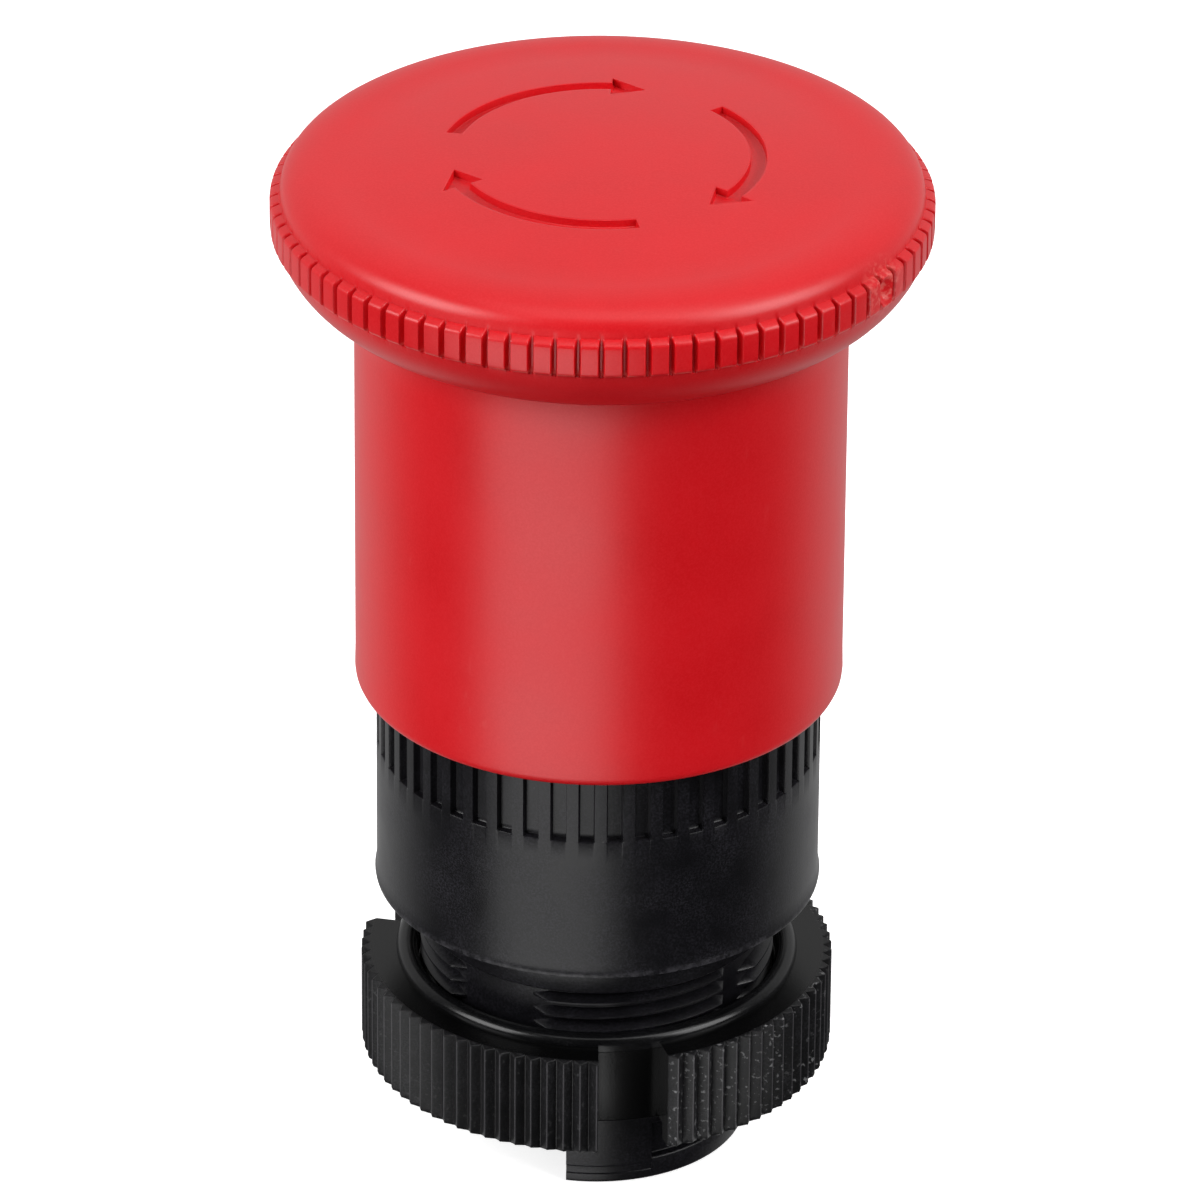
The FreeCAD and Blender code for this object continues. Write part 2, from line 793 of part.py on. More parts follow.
def pusher():
    """The sliding plunger: keyed in its bush, it carries the spindle and drives the foot."""
    body = new_body("pusher_blank")
    bore = "shaft_radius + shaft_clearance"
    flange_bottom = "pusher_top - pusher_flange_height"
    revolve(
        body,
        "pusher_blank_shell",
        [
            ("pusher_cup_radius", "pusher_top"),
            ("pusher_flange_radius", "pusher_top"),
            ("pusher_flange_radius", flange_bottom),
            ("pusher_radius", flange_bottom),
            ("pusher_radius", "pusher_bottom"),
            ("pusher_cavity_radius", "pusher_bottom"),
            ("pusher_cavity_radius", "pusher_web_bottom"),
            (bore, "pusher_web_bottom"),
            (bore, "pusher_web_top"),
            ("pusher_cup_radius", "pusher_web_top"),
        ],
    )
    sketch = new_sketch(body, "pusher_key_profile", "XY_Plane", "pusher_key_bottom")
    inner, outer, half = "pusher_radius - 0.4", "pusher_key_radius", "pusher_key_width / 2"
    outline(sketch, [(inner, f"-{half}"), (outer, f"-{half}"), (outer, half), (inner, half)])
    length = "pusher_key_top - pusher_key_bottom"
    key = extrude(body, "PartDesign::Pad", "pusher_key", sketch, length)
    polar(body, "pusher_keys", key, "2")
    hole = radial_hole("pusher_leg_hole", "turn_spring_bottom", "pusher_cup_radius - 0.5",
                       "pusher_radius + 1", "0")
    return cut("pusher", body, hole)


def pusher_foot():
    plug_top = "pusher_bottom + foot_plug_height"
    disc = cylinder("foot_disc", "pusher_radius", "pusher_bottom - foot_height", "pusher_bottom")
    plug = cylinder("foot_plug", "pusher_cavity_radius - 0.02", "pusher_bottom - 0.2", plug_top)
    return fuse("pusher_foot", disc, plug)


def guide_bush():
    """The bush that the pusher slides in, with two keyways that stop it turning."""
    outer = "bush_radius - 0.02"
    flange_top = "chamber_floor + bush_flange_height"
    tube = cylinder("bush_tube", outer, "bush_seat", flange_top)
    flange = cylinder("bush_flange", "chamber_radius - 0.05", "chamber_floor", flange_top)
    blank = fuse("bush_blank", tube, flange)
    bore = cylinder("bush_bore_hole", "bush_bore", "bush_seat - 1", f"{flange_top} + 1")
    keyway = doc.addObject("Part::Box", "bush_keyways")
    width = "pusher_key_width + 0.2"
    reach = "pusher_key_radius + 0.15"
    height = f"{flange_top} - bush_seat + 2"
    bind(keyway, Length=f"2 * ({reach})", Width=width, Height=height)
    corner = FreeCAD.Vector(-number(reach), -number(width) / 2, number("bush_seat - 1"))
    keyway.Placement = FreeCAD.Placement(corner, FreeCAD.Rotation())
    keyway.setExpression(".Placement.Base.x", bound(f"-({reach})"))
    keyway.setExpression(".Placement.Base.y", bound(f"-({width}) / 2"))
    keyway.setExpression(".Placement.Base.z", bound("bush_seat - 1"))
    return cut("guide_bush", blank, bore, keyway)


def return_spring():
    """The compression spring between the bush's flange and the pusher's flange."""
    wire = number("return_spring_wire")
    radius = number("return_spring_radius")
    bottom = number("chamber_floor + bush_flange_height + spring_seat_height") + wire / 2
    top = number("pusher_top - pusher_flange_height - spring_seat_height") - wire / 2
    path = coil_path(radius, top - bottom, number("return_spring_turns"))
    coil = swept_wire(path, wire)
    coil.translate(FreeCAD.Vector(0, 0, bottom))
    return stored_shape("return_spring", coil)


def turn_return_spring():
    """The torsion spring that brings the cap back after it has been turned."""
    wire = number("turn_spring_wire")
    radius = number("turn_spring_radius")
    pitch = number("turn_spring_pitch")
    turns = number("turn_spring_turns")
    bottom = number("turn_spring_bottom")
    coil = swept_wire(coil_path(radius, pitch * turns, turns), wire)
    coil.translate(FreeCAD.Vector(0, 0, bottom))
    outward = FreeCAD.Vector(1, 0, 0)
    outer_start = FreeCAD.Vector(radius, 0, bottom)
    inner_start = FreeCAD.Vector(-radius, 0, bottom + pitch * turns)
    leg_radius = 0.48 * wire
    legs = [
        Part.makeCylinder(leg_radius, number("turn_spring_outer_leg"), outer_start, outward),
        Part.makeCylinder(leg_radius, number("turn_spring_inner_leg"), inner_start, outward),
    ]
    return stored_shape("turn_return_spring", coil.multiFuse(legs))


def spindle():
    """The shaft that turns with the cap: flats, release cam, latch land and circlip groove."""
    body = new_body("spindle_blank")
    clip_top, clip_bottom = "cap_clip_bottom + cap_clip_height + 0.05", "cap_clip_bottom - 0.05"
    circlip_bottom = "pusher_web_bottom - circlip_height - 0.05"
    revolve(
        body,
        "spindle_blank_shell",
        [
            ("0", "shaft_top"),
            ("shaft_radius - 0.4", "shaft_top"),
            ("shaft_radius", "shaft_top - 0.4"),
            ("shaft_radius", clip_top),
            ("cap_clip_inner", clip_top),
            ("cap_clip_inner", clip_bottom),
            ("shaft_radius", clip_bottom),
            ("shaft_radius", "cam_top"),
            ("latch_neck_radius", "cam_top"),
            ("latch_neck_radius", "latch_land_top"),
            ("shaft_collar_radius", "latch_land_top"),
            ("shaft_collar_radius", "latch_land_bottom"),
            ("latch_neck_radius", "latch_neck_top"),
            ("latch_neck_radius", "latch_neck_bottom"),
            ("shaft_collar_radius", "latch_neck_bottom"),
            ("shaft_collar_radius", "shaft_collar_bottom"),
            ("shaft_radius", "shaft_collar_bottom"),
            ("shaft_radius", "pusher_web_bottom"),
            ("circlip_groove_radius", "pusher_web_bottom"),
            ("circlip_groove_radius", circlip_bottom),
            ("shaft_radius", circlip_bottom),
            ("shaft_radius", "shaft_bottom"),
            ("0", "shaft_bottom"),
        ],
    )
    release_cam(body)
    spindle_flats(body)
    hole = radial_hole(
        "spindle_leg_hole", "turn_spring_bottom + turn_spring_pitch * turn_spring_turns",
        "shaft_radius", "shaft_collar_radius + 1", "180",
    )
    return cut("spindle", body, hole)


def release_cam(body):
    """An oblong collar: turned by the cap, its long side spreads the latch spring's legs."""
    sketch = new_sketch(body, "release_cam_profile", "XY_Plane", "latch_land_top")
    x, y = "cam_half_width", "cam_half_length"
    flat_x, flat_y = f"({x} - cam_corner)", f"({y} - cam_corner)"
    outline(
        sketch,
        [
            (x, f"-{flat_y}"), (x, flat_y),
            (flat_x, y), (f"-{flat_x}", y),
            (f"-{x}", flat_y), (f"-{x}", f"-{flat_y}"),
            (f"-{flat_x}", f"-{y}"), (flat_x, f"-{y}"),
        ],
        {side: "-cam_corner" for side in (1, 3, 5, 7)},
    )
    extrude(body, "PartDesign::Pad", "release_cam", sketch, "cam_top - latch_land_top")


def spindle_flats(body):
    sketch = new_sketch(body, "spindle_flat_profile", "XY_Plane", "cap_boss_bottom - 0.1")
    clear = "shaft_radius + 1"
    outline(
        sketch,
        [
            (f"-({clear})", "shaft_flat"),
            (clear, "shaft_flat"),
            (clear, clear),
            (f"-({clear})", clear),
        ],
    )
    height = "shaft_top - cap_boss_bottom + 1"
    flat = extrude(body, "PartDesign::Pocket", "spindle_flat", sketch, height)
    polar(body, "spindle_flats", flat, "2")


# ---------------------------------------------------------------- latch and top guide


def latch_plate():
    body = new_body("latch_plate_dish")
    revolve(
        body,
        "latch_plate_dish_shell",
        [
            ("latch_opening", "latch_dish_floor"),
            ("latch_dish_radius", "latch_dish_floor"),
            ("latch_dish_radius", "latch_plate_top"),
            ("latch_bore - fit_clearance", "latch_plate_top"),
            ("latch_bore - fit_clearance", "latch_seat"),
            ("latch_opening", "latch_seat"),
        ],
    )
    post = doc.addObject("Part::Cylinder", "latch_post")
    bind(post, Radius="latch_post_radius - 0.1", Height="latch_plate_top - latch_seat - 0.3")
    post.Placement = FreeCAD.Placement(
        FreeCAD.Vector(0, number("latch_post_centre"), number("latch_seat")),
        FreeCAD.Rotation(),
    )
    post.setExpression(".Placement.Base.y", bound("latch_post_centre"))
    post.setExpression(".Placement.Base.z", bound("latch_seat"))
    return fuse("latch_plate", body, post)


def latch_spring():
    """A hairpin of round wire whose two legs grip the spindle's latch neck."""
    side = number("latch_leg_offset")
    height = number("latch_wire_height")
    start, bend = number("latch_leg_start"), number("latch_bend_centre")
    right_start = FreeCAD.Vector(side, start, height)
    right_bend = FreeCAD.Vector(side, bend, height)
    crown = FreeCAD.Vector(0, bend + side, height)
    left_bend = FreeCAD.Vector(-side, bend, height)
    left_start = FreeCAD.Vector(-side, start, height)
    path = Part.Wire(
        [
            Part.makeLine(right_start, right_bend),
            Part.Arc(right_bend, crown, left_bend).toShape(),
            Part.makeLine(left_bend, left_start),
        ]
    )
    return stored_shape("latch_spring", swept_wire(path, number("latch_wire")))


def top_guide():
    body = new_body("top_guide")
    bore = "shaft_radius + shaft_clearance"
    seal_seat = "seal_radius + fit_clearance"
    revolve(
        body,
        "top_guide_shell",
        [
            ("latch_opening", "latch_plate_top"),
            ("latch_opening", "guide_counterbore_top"),
            (bore, "guide_counterbore_top"),
            (bore, "seal_bottom"),
            (seal_seat, "seal_bottom"),
            (seal_seat, "barrel_top - 0.2"),
            ("guide_nose_radius", "barrel_top - 0.2"),
            ("guide_nose_radius", "clip_bottom"),
            ("latch_bore - fit_clearance", "clip_bottom"),
            ("latch_bore - fit_clearance", "latch_plate_top"),
        ],
    )
    return body


def shaft_seal():
    """A rubber lip seal: two lips meet the shaft with a relief between them."""
    body = new_body("shaft_seal")
    lip = "shaft_radius + 0.03"
    revolve(
        body,
        "shaft_seal_section",
        [
            ("seal_radius", "seal_bottom"),
            ("seal_radius", "barrel_top - 0.2"),
            (lip, "barrel_top - 0.2"),
            ("shaft_radius + 0.5", "barrel_top - 0.7"),
            ("shaft_radius + 0.5", "seal_bottom + 0.5"),
            (lip, "seal_bottom"),
        ],
    )
    return body


# ---------------------------------------------------------------- build, check and write


def build():
    bush_top = "chamber_floor + bush_flange_height"
    flange_bottom = "pusher_top - pusher_flange_height"
    return [
        mushroom_cap(),
        split_ring("cap_clip", "cap_clip_outer", "cap_clip_inner", "cap_clip_bottom",
                   "cap_clip_bottom + cap_clip_height", "1.4"),
        spindle(),
        split_ring("spindle_circlip", "circlip_radius", "circlip_groove_radius",
                   "pusher_web_bottom - circlip_height - 0.05", "pusher_web_bottom - 0.05", "2.6"),
        pusher(),
        pusher_foot(),
        ring("thrust_washer", "pusher_cup_radius - 0.1", "shaft_radius + 0.1",
             "pusher_web_top", "shaft_collar_bottom"),
        turn_return_spring(),
        ring("upper_spring_seat", "pusher_flange_radius - 0.1", "pusher_radius + 0.1",
             f"{flange_bottom} - spring_seat_height", flange_bottom),
        return_spring(),
        ring("lower_spring_seat", "pusher_flange_radius", "pusher_key_radius + 0.3",
             bush_top, f"{bush_top} + spring_seat_height"),
        ring("stop_bumper", "bumper_outer", "bumper_inner", "pusher_top", "latch_seat"),
        guide_bush(),
        latch_plate(),
        latch_spring(),
        top_guide(),
        split_ring("guide_clip", "clip_groove_radius - 0.05", "guide_nose_radius + 0.1",
                   "clip_bottom", "clip_bottom + clip_height", "5"),
        shaft_seal(),
        ring("skirt_wiper", "cap_skirt_bore - 0.04", "wiper_groove_radius", "wiper_bottom",
             "wiper_bottom + wiper_height"),
        bezel_body(),
        ring("panel_gasket", "gasket_outer", "gasket_inner", "0", "gasket_height"),
        nut_slip_ring(),
        mounting_nut(),
    ]


def check(parts):
    failed = [o.Name for o in doc.Objects if {"Invalid", "Error"} & set(o.State)]
    if failed:
        raise RuntimeError(f"features failed: {failed}")
    for feature in doc.Objects:
        if feature.TypeId in ("PartDesign::Pocket", "PartDesign::Groove"):
            if feature.Shape.Volume >= feature.BaseFeature.Shape.Volume - 1e-6:
                raise RuntimeError(f"{feature.Name} cuts nothing")
    for part in parts:
        if part.Shape.isNull() or not part.Shape.isValid():
            raise RuntimeError(f"{part.Label} has no valid shape")
        print(f"{part.Label:20s} solids {len(part.Shape.Solids)} volume {part.Shape.Volume:9.2f}")


def write(parts):
    os.makedirs(PARTS, exist_ok=True)
    for part in parts:
        part.Shape.exportStep(f"{PARTS}/{part.Label}.step")


fill_sheet()
sub_parts = build()
doc.recompute()
check(sub_parts)
write(sub_parts)
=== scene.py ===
import json
import math
import random

import bmesh
import bpy
from mathutils import Matrix, Vector, geometry


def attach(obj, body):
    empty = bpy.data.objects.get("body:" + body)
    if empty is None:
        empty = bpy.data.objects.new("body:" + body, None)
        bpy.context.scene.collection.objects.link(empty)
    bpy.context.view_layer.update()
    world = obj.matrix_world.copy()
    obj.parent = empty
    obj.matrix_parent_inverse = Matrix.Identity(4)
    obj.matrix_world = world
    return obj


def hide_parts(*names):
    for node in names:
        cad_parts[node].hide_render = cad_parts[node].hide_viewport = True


# Looks for a panel-mounted emergency stop button: red mushroom cap, black body and nut.
# Lengths of the object are millimetres, turned into metres where meshes are made. Angles round
# the axis are degrees from the front (-Y) towards +X. Sections are (radius, height) points.

MM = 0.001
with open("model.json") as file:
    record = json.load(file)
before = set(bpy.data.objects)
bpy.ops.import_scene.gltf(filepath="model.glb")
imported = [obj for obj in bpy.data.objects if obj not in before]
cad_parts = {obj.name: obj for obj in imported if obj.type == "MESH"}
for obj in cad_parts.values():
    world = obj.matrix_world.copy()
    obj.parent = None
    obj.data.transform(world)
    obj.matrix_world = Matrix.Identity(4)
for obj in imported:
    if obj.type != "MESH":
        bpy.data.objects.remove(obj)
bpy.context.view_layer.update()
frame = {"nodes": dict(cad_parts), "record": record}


# ---------------------------------------------------------------- mesh helpers

ROUNDING_STEPS = 4


def polar(radius, angle, height):
    """A point in metres from a radius and height in millimetres and an angle in degrees."""
    turn = math.radians(angle)
    return (radius * math.sin(turn) * MM, -radius * math.cos(turn) * MM, height * MM)


def smooth_step(low, high, value):
    """0 below low, 1 above high, and an S-curve between."""
    share = min(max((value - low) / (high - low), 0.0), 1.0)
    return share * share * (3 - 2 * share)


def arc_points(centre, radius, start, end, count):
    """Points (radius, height) on an arc; angles in degrees from the outward direction."""
    turns = [math.radians(start + (end - start) * i / count) for i in range(count + 1)]
    return [(centre[0] + radius * math.cos(t), centre[1] + radius * math.sin(t)) for t in turns]


def rounded(corners):
    """A section's points with each corner (r, z, rounding) turned into a small curve."""
    points = []
    for index, (r, z, rounding) in enumerate(corners):
        here = Vector((r, z))
        if rounding <= 0:
            points.append((r, z))
            continue
        before = Vector(corners[index - 1][:2]) - here
        after = Vector(corners[(index + 1) % len(corners)][:2]) - here
        start = here + before.normalized() * rounding
        end = here + after.normalized() * rounding
        for step in range(ROUNDING_STEPS + 1):
            t = step / ROUNDING_STEPS
            spot = start * (1 - t) ** 2 + here * 2 * t * (1 - t) + end * t ** 2
            points.append((spot.x, spot.y))
    return points


class Shape:
    """Vertices and faces of one piece, gathered before its mesh is made."""

    def __init__(self):
        self.vertices = []
        self.faces = []

    def sweep(self, angles, section, closed_turn=True, closed_section=True):
        """Sweep section(angle) round the axis; a part of a turn gets a face at each end."""
        first = len(self.vertices)
        rings = [section(angle) for angle in angles]
        size = len(rings[0])
        for angle, ring in zip(angles, rings):
            self.vertices += [polar(r, angle, z) for r, z in ring]
        turns = len(rings) if closed_turn else len(rings) - 1
        sides = size if closed_section else size - 1
        for i in range(turns):
            here = first + i * size
            there = first + (i + 1) % len(rings) * size
            for j in range(sides):
                k = (j + 1) % size
                self.faces.append((here + j, there + j, there + k, here + k))
        if not closed_turn:
            last = first + (len(rings) - 1) * size
            self.faces.append(tuple(range(first + size - 1, first - 1, -1)))
            self.faces.append(tuple(range(last, last + size)))

    def piece(self, name, sharp_angle, weld=None):
        """The mesh object; points closer than weld millimetres are joined."""
        mesh = bpy.data.meshes.new(name)
        mesh.from_pydata(self.vertices, [], self.faces)
        bm = bmesh.new()
        bm.from_mesh(mesh)
        if weld:
            bmesh.ops.remove_doubles(bm, verts=bm.verts, dist=weld * MM)
        bmesh.ops.recalc_face_normals(bm, faces=bm.faces)
        bm.to_mesh(mesh)
        bm.free()
        mesh.shade_smooth()
        mesh.set_sharp_from_angle(angle=math.radians(sharp_angle))
        piece = bpy.data.objects.new(name, mesh)
        bpy.context.scene.collection.objects.link(piece)
        return piece


def even_angles(start, end, step):
    """Angles from start to end, evenly spaced by at most step."""
    count = max(1, math.ceil((end - start) / step))
    return [start + (end - start) * i / count for i in range(count + 1)]


def full_turn(step):
    """Angles of a full turn, without the last, which would repeat the first."""
    return even_angles(0, 360, step)[:-1]


def repeated_angles(count, offset, pattern):
    """The angles of a pattern, given within one pitch, repeated round the axis."""
    pitch = 360 / count
    return [offset + k * pitch + a for k in range(count) for a in pattern]


def from_nearest(angle, pitch, offset=0.0):
    """How far an angle is from the nearest whole number of pitches past the offset."""
    return abs((angle - offset + pitch / 2) % pitch - pitch / 2)


# ---------------------------------------------------------------- mushroom cap

CROWN_TOP = 49.69
CROWN_SPHERE = 127.0
CROWN_EDGE = 15.35
CROWN_RINGS = 14
CROWN_POINTS_PER_MM = 8
CAP_SIDE = 19.39
SHOULDER_FOOT = 46.72
SHOULDER_POWER = 2.79
SHOULDER_END = 84.5
SHOULDER_STEPS = 14
CAP_RADIUS = 20.0
CAP_TEETH = 90
CAP_PITCH = 360 / CAP_TEETH
TOOTH_GROOVE = (0.16, 0.26, 0.34, 0.42, 0.5, 0.62, 0.85)
TOOTH_ANGLES = tuple(-a for a in reversed(TOOTH_GROOVE)) + (0,) + TOOTH_GROOVE + (1.4, 2.0)
TOOTH_FLANK = (0.2, 0.58)
# The rim's section on a tooth and, point for point, in the gap beside it.
TOOTH_SECTION = ((19.42, 46.92), (19.6, 46.87), (19.8, 46.79), (19.92, 46.71), (19.98, 46.61),
                 (20.0, 46.48), (20.0, 46.0), (20.0, 45.6), (20.0, 45.2), (20.0, 44.9),
                 (19.98, 44.78), (19.9, 44.68), (19.76, 44.63))
GAP_SECTION = ((19.38, 46.98), (19.39, 46.9), (19.39, 46.82), (19.39, 46.74), (19.4, 46.64),
               (19.41, 46.5), (19.42, 46.0), (19.43, 45.6), (19.44, 45.2), (19.45, 44.9),
               (19.47, 44.78), (19.52, 44.66), (19.57, 44.56))
FIRST_WORN_ROW = 9
TOOTH_WEAR = 0.05
WEAR_SEED = 4
CHIP_ANGLE, CHIP_HEIGHT = 57.4, 45.8
CHIP_HALF_ANGLE, CHIP_HALF_HEIGHT, CHIP_DEPTH = 1.9, 0.95, 0.46
BRIM_START, BRIM_END = (19.7, 44.5), (15.2, 40.78)
BRIM_RADIUS = 5.3
BRIM_STEPS = 12
SKIRT_RADIUS = 14.97
SKIRT_BOTTOM = 14.2
SKIRT_BORE = 13.95
ARROW_RING = 9.35
ARROW_WIDTH = 1.0
ARROW_HEAD = 2.6
# Angles on the arrows' ring, from +X towards +Y.
ARROW_TAIL, ARROW_NECK, ARROW_TIP = 163.0, 87.0, 74.0
ARROW_DEPTH = 0.5
ARROW_STEPS = 30
ARROW_POINT_SHIFT = 0.2
# Loops round an arrow: how far each lies outside its outline, and how far below the crown.
ARROW_LOOPS = ((0.16, 0.0), (0.03, 0.0), (0.0, 0.02), (-0.03, ARROW_DEPTH - 0.05),
               (-0.1, ARROW_DEPTH))
ARROW_CLEARANCE = 0.3


def crown_height(radius):
    """The crown's height at a radius, on one large sphere."""
    return CROWN_TOP - CROWN_SPHERE + math.sqrt(CROWN_SPHERE ** 2 - radius ** 2)


def shoulder_points():
    """The shoulder, a soft superellipse from the crown's edge down to the top of the teeth."""
    reach, drop = CAP_SIDE - CROWN_EDGE, crown_height(CROWN_EDGE) - SHOULDER_FOOT
    points = []
    for step in range(SHOULDER_STEPS + 1):
        turn = math.radians(SHOULDER_END * step / SHOULDER_STEPS)
        along = math.sin(turn) ** (2 / SHOULDER_POWER)
        above = math.cos(turn) ** (2 / SHOULDER_POWER)
        points.append((CROWN_EDGE + reach * along, SHOULDER_FOOT + drop * above))
    return points


def brim_points():
    """The convex underside, from the teeth in to the skirt, then a small hollow corner."""
    start, end = Vector(BRIM_START), Vector(BRIM_END)
    chord = end - start
    side = Vector((-chord.y, chord.x)).normalized()
    drop = math.sqrt(BRIM_RADIUS ** 2 - (chord.length / 2) ** 2)
    centre = (start + end) / 2 - side * drop
    first = math.atan2(start.y - centre.y, start.x - centre.x)
    last = math.atan2(end.y - centre.y, end.x - centre.x)
    turns = [first + (last - first) * i / BRIM_STEPS for i in range(BRIM_STEPS + 1)]
    arc = [
        (centre.x + BRIM_RADIUS * math.cos(t), centre.y + BRIM_RADIUS * math.sin(t)) for t in turns
    ]
    return arc + [(15.05, 40.66), (SKIRT_RADIUS, 40.45)]


def inner_points():
    """The skirt, its bottom edge, and the inside up to the boss's bore."""
    skirt = [(SKIRT_RADIUS, z) for z in (38.0, 32.0, 26.0, 20.0, 16.0)]
    edge = [(15.0, 14.75), (14.97, 14.5), (14.88, 14.31), (14.72, 14.22), (14.5, SKIRT_BOTTOM),
            (14.1, SKIRT_BOTTOM), (SKIRT_BORE, 14.35)]
    inside = [(SKIRT_BORE, 43.4), (12.55, 45.4), (5.2, 46.6), (5.2, 42.35), (5.05, 42.2),
              (3.2, 42.2), (3.05, 42.35), (3.05, 46.1)]
    return skirt + edge + inside


def tooth_share(angle):
    """0 in the gap between two teeth and 1 on a tooth."""
    return smooth_step(*TOOTH_FLANK, from_nearest(angle, CAP_PITCH))


def cap_section(angle, nicks):
    """The cap's section; nicks says how far each tooth's lower edge is worn away."""
    share = tooth_share(angle)
    nick = nicks[round(angle / CAP_PITCH - 0.5) % CAP_TEETH]
    rim = []
    for row, (tip, gap) in enumerate(zip(TOOTH_SECTION, GAP_SECTION)):
        radius = gap[0] + (tip[0] - gap[0]) * share
        height = gap[1] + (tip[1] - gap[1]) * share
        if row >= FIRST_WORN_ROW:
            radius -= nick * share
            height -= nick * share * 0.8
        rim.append((radius - chip_depth(angle, height) * share, height))
    return shoulder_points() + rim + brim_points() + inner_points()


def chip_depth(angle, height):
    """A small chip knocked out of the teeth on the right-hand side."""
    across = ((angle - CHIP_ANGLE) / CHIP_HALF_ANGLE) ** 2
    along = ((height - CHIP_HEIGHT) / CHIP_HALF_HEIGHT) ** 2
    return CHIP_DEPTH * max(0.0, 1 - across - along)


def arrow_outline(grow, turn):
    """The plan of one arrow, grown outwards by grow millimetres, as (x, y) points.

    The head's sides and tip move further than its edges, as their corners are sharp.
    """
    inner = ARROW_RING - ARROW_WIDTH / 2 - grow
    outer = ARROW_RING + ARROW_WIDTH / 2 + grow
    head_inner = ARROW_RING - ARROW_HEAD / 2 - grow * 1.25
    head_outer = ARROW_RING + ARROW_HEAD / 2 + grow * 1.25
    step = math.degrees(grow / ARROW_RING)
    tail, neck, tip = ARROW_TAIL + step, ARROW_NECK + step, ARROW_TIP - step * 2.1
    shaft = [tail + (neck - tail) * i / ARROW_STEPS for i in range(ARROW_STEPS + 1)]
    places = [(outer, a) for a in shaft]
    places += [(head_outer, neck), (ARROW_RING - ARROW_POINT_SHIFT, tip), (head_inner, neck)]
    places += [(inner, a) for a in reversed(shaft)]
    return [
        Vector((r * math.cos(math.radians(a + turn)), r * math.sin(math.radians(a + turn))))
        for r, a in places
    ]


def inside(point, outline):
    """Whether a plan point lies within a closed outline."""
    hit = False
    for a, b in zip(outline, outline[1:] + outline[:1]):
        if (a.y > point.y) != (b.y > point.y):
            if point.x < (b.x - a.x) * (point.y - a.y) / (b.y - a.y) + a.x:
                hit = not hit
    return hit


def crown_plan(rim_angles):
    """The crown's plan points, the drop below the crown at each, and the edges to keep."""
    plan, drops, edges = [], [], []

    def add_loop(points, drop):
        first = len(plan)
        plan.extend(points)
        drops.extend([drop] * len(points))
        count = len(points)
        edges.extend((first + i, first + (i + 1) % count) for i in range(count))

    add_loop([Vector(polar(CROWN_EDGE, a, 0)[:2]) / MM for a in rim_angles], 0.0)
    outlines = []
    for arrow in range(3):
        turn = 120 * arrow
        outlines.append(arrow_outline(ARROW_CLEARANCE, turn))
        for grow, drop in ARROW_LOOPS:
            add_loop(arrow_outline(grow, turn), drop)
    for ring in range(CROWN_RINGS + 1):
        radius = float(ring)
        count = max(1, round(radius * CROWN_POINTS_PER_MM))
        for k in range(count):
            spot = Vector(polar(radius, 360 * k / count, 0)[:2]) / MM
            if not any(inside(spot, outline) for outline in outlines):
                plan.append(spot)
                drops.append(0.0)
    return plan, drops, edges


def add_crown(shape, rim_angles):
    """The crown with its three sunk arrows, triangulated inside the ring at CROWN_EDGE."""
    plan, drops, edges = crown_plan(rim_angles)
    points, _, faces, origins, _, _ = geometry.delaunay_2d_cdt(plan, edges, [], 1, 1e-6)
    first = len(shape.vertices)
    for spot, sources in zip(points, origins):
        drop = drops[sources[0]] if sources else 0.0
        height = crown_height(spot.length) - drop
        shape.vertices.append((spot.x * MM, spot.y * MM, height * MM))
    shape.faces += [tuple(first + i for i in face) for face in faces]


def mushroom_cap():
    rng = random.Random(WEAR_SEED)
    nicks = [TOOTH_WEAR * rng.random() ** 3 for _ in range(CAP_TEETH)]
    angles = repeated_angles(CAP_TEETH, 0, TOOTH_ANGLES)
    shape = Shape()
    shape.sweep(angles, lambda a: cap_section(a, nicks), closed_section=False)
    size = len(cap_section(0, nicks))
    # The boss's bore ends blind, in one face round the last point of every section.
    shape.faces.append(tuple(i * size + size - 1 for i in range(len(angles))))
    add_crown(shape, angles)
    piece = shape.piece("red_mushroom_cap", sharp_angle=40, weld=0.002)
    return dress(piece, "cap", "mushroom_cap", "red_cap_plastic")


# ---------------------------------------------------------------- bezel body

BARREL = 13.7
POCKETS = 50
POCKET_OFFSET = -2.8
POCKET_EDGE = (1.2, 1.75, 1.86, 1.93, 2.0, 2.1)
POCKET_ANGLES = tuple(-a for a in reversed(POCKET_EDGE)) + (0,) + POCKET_EDGE + (2.8, 3.6, 4.4)
POCKET_FLANK = (1.76, 2.08)
POCKET_DEPTH = 0.45
NECK_ROOT = 10.35
NECK_CREST = 11.0
PITCH = 1.0
# The ridge's height at the front, where angles are counted from.
THREAD_FRONT = -3.45
THREAD_SECTORS = ((-16, 45), (63, 125), (164, 225), (243, 305))
THREAD_RUN_IN, THREAD_RUN_OUT = 7, 5
THREAD_TURNS = range(-1, 9)
# A ridge that starts below the one or ends above the other is left out.
THREAD_BOTTOM, THREAD_TOP = -11.6, -3.2
SLEEVE = 9.4
SLEEVE_BORE = 8.0
SLEEVE_BOTTOM, SLEEVE_TOP = -17.35, -12.55
SLEEVE_GROOVE_TOP = -13.4
LAND_START, LAND_END, RIM_END = -11, 22, 284
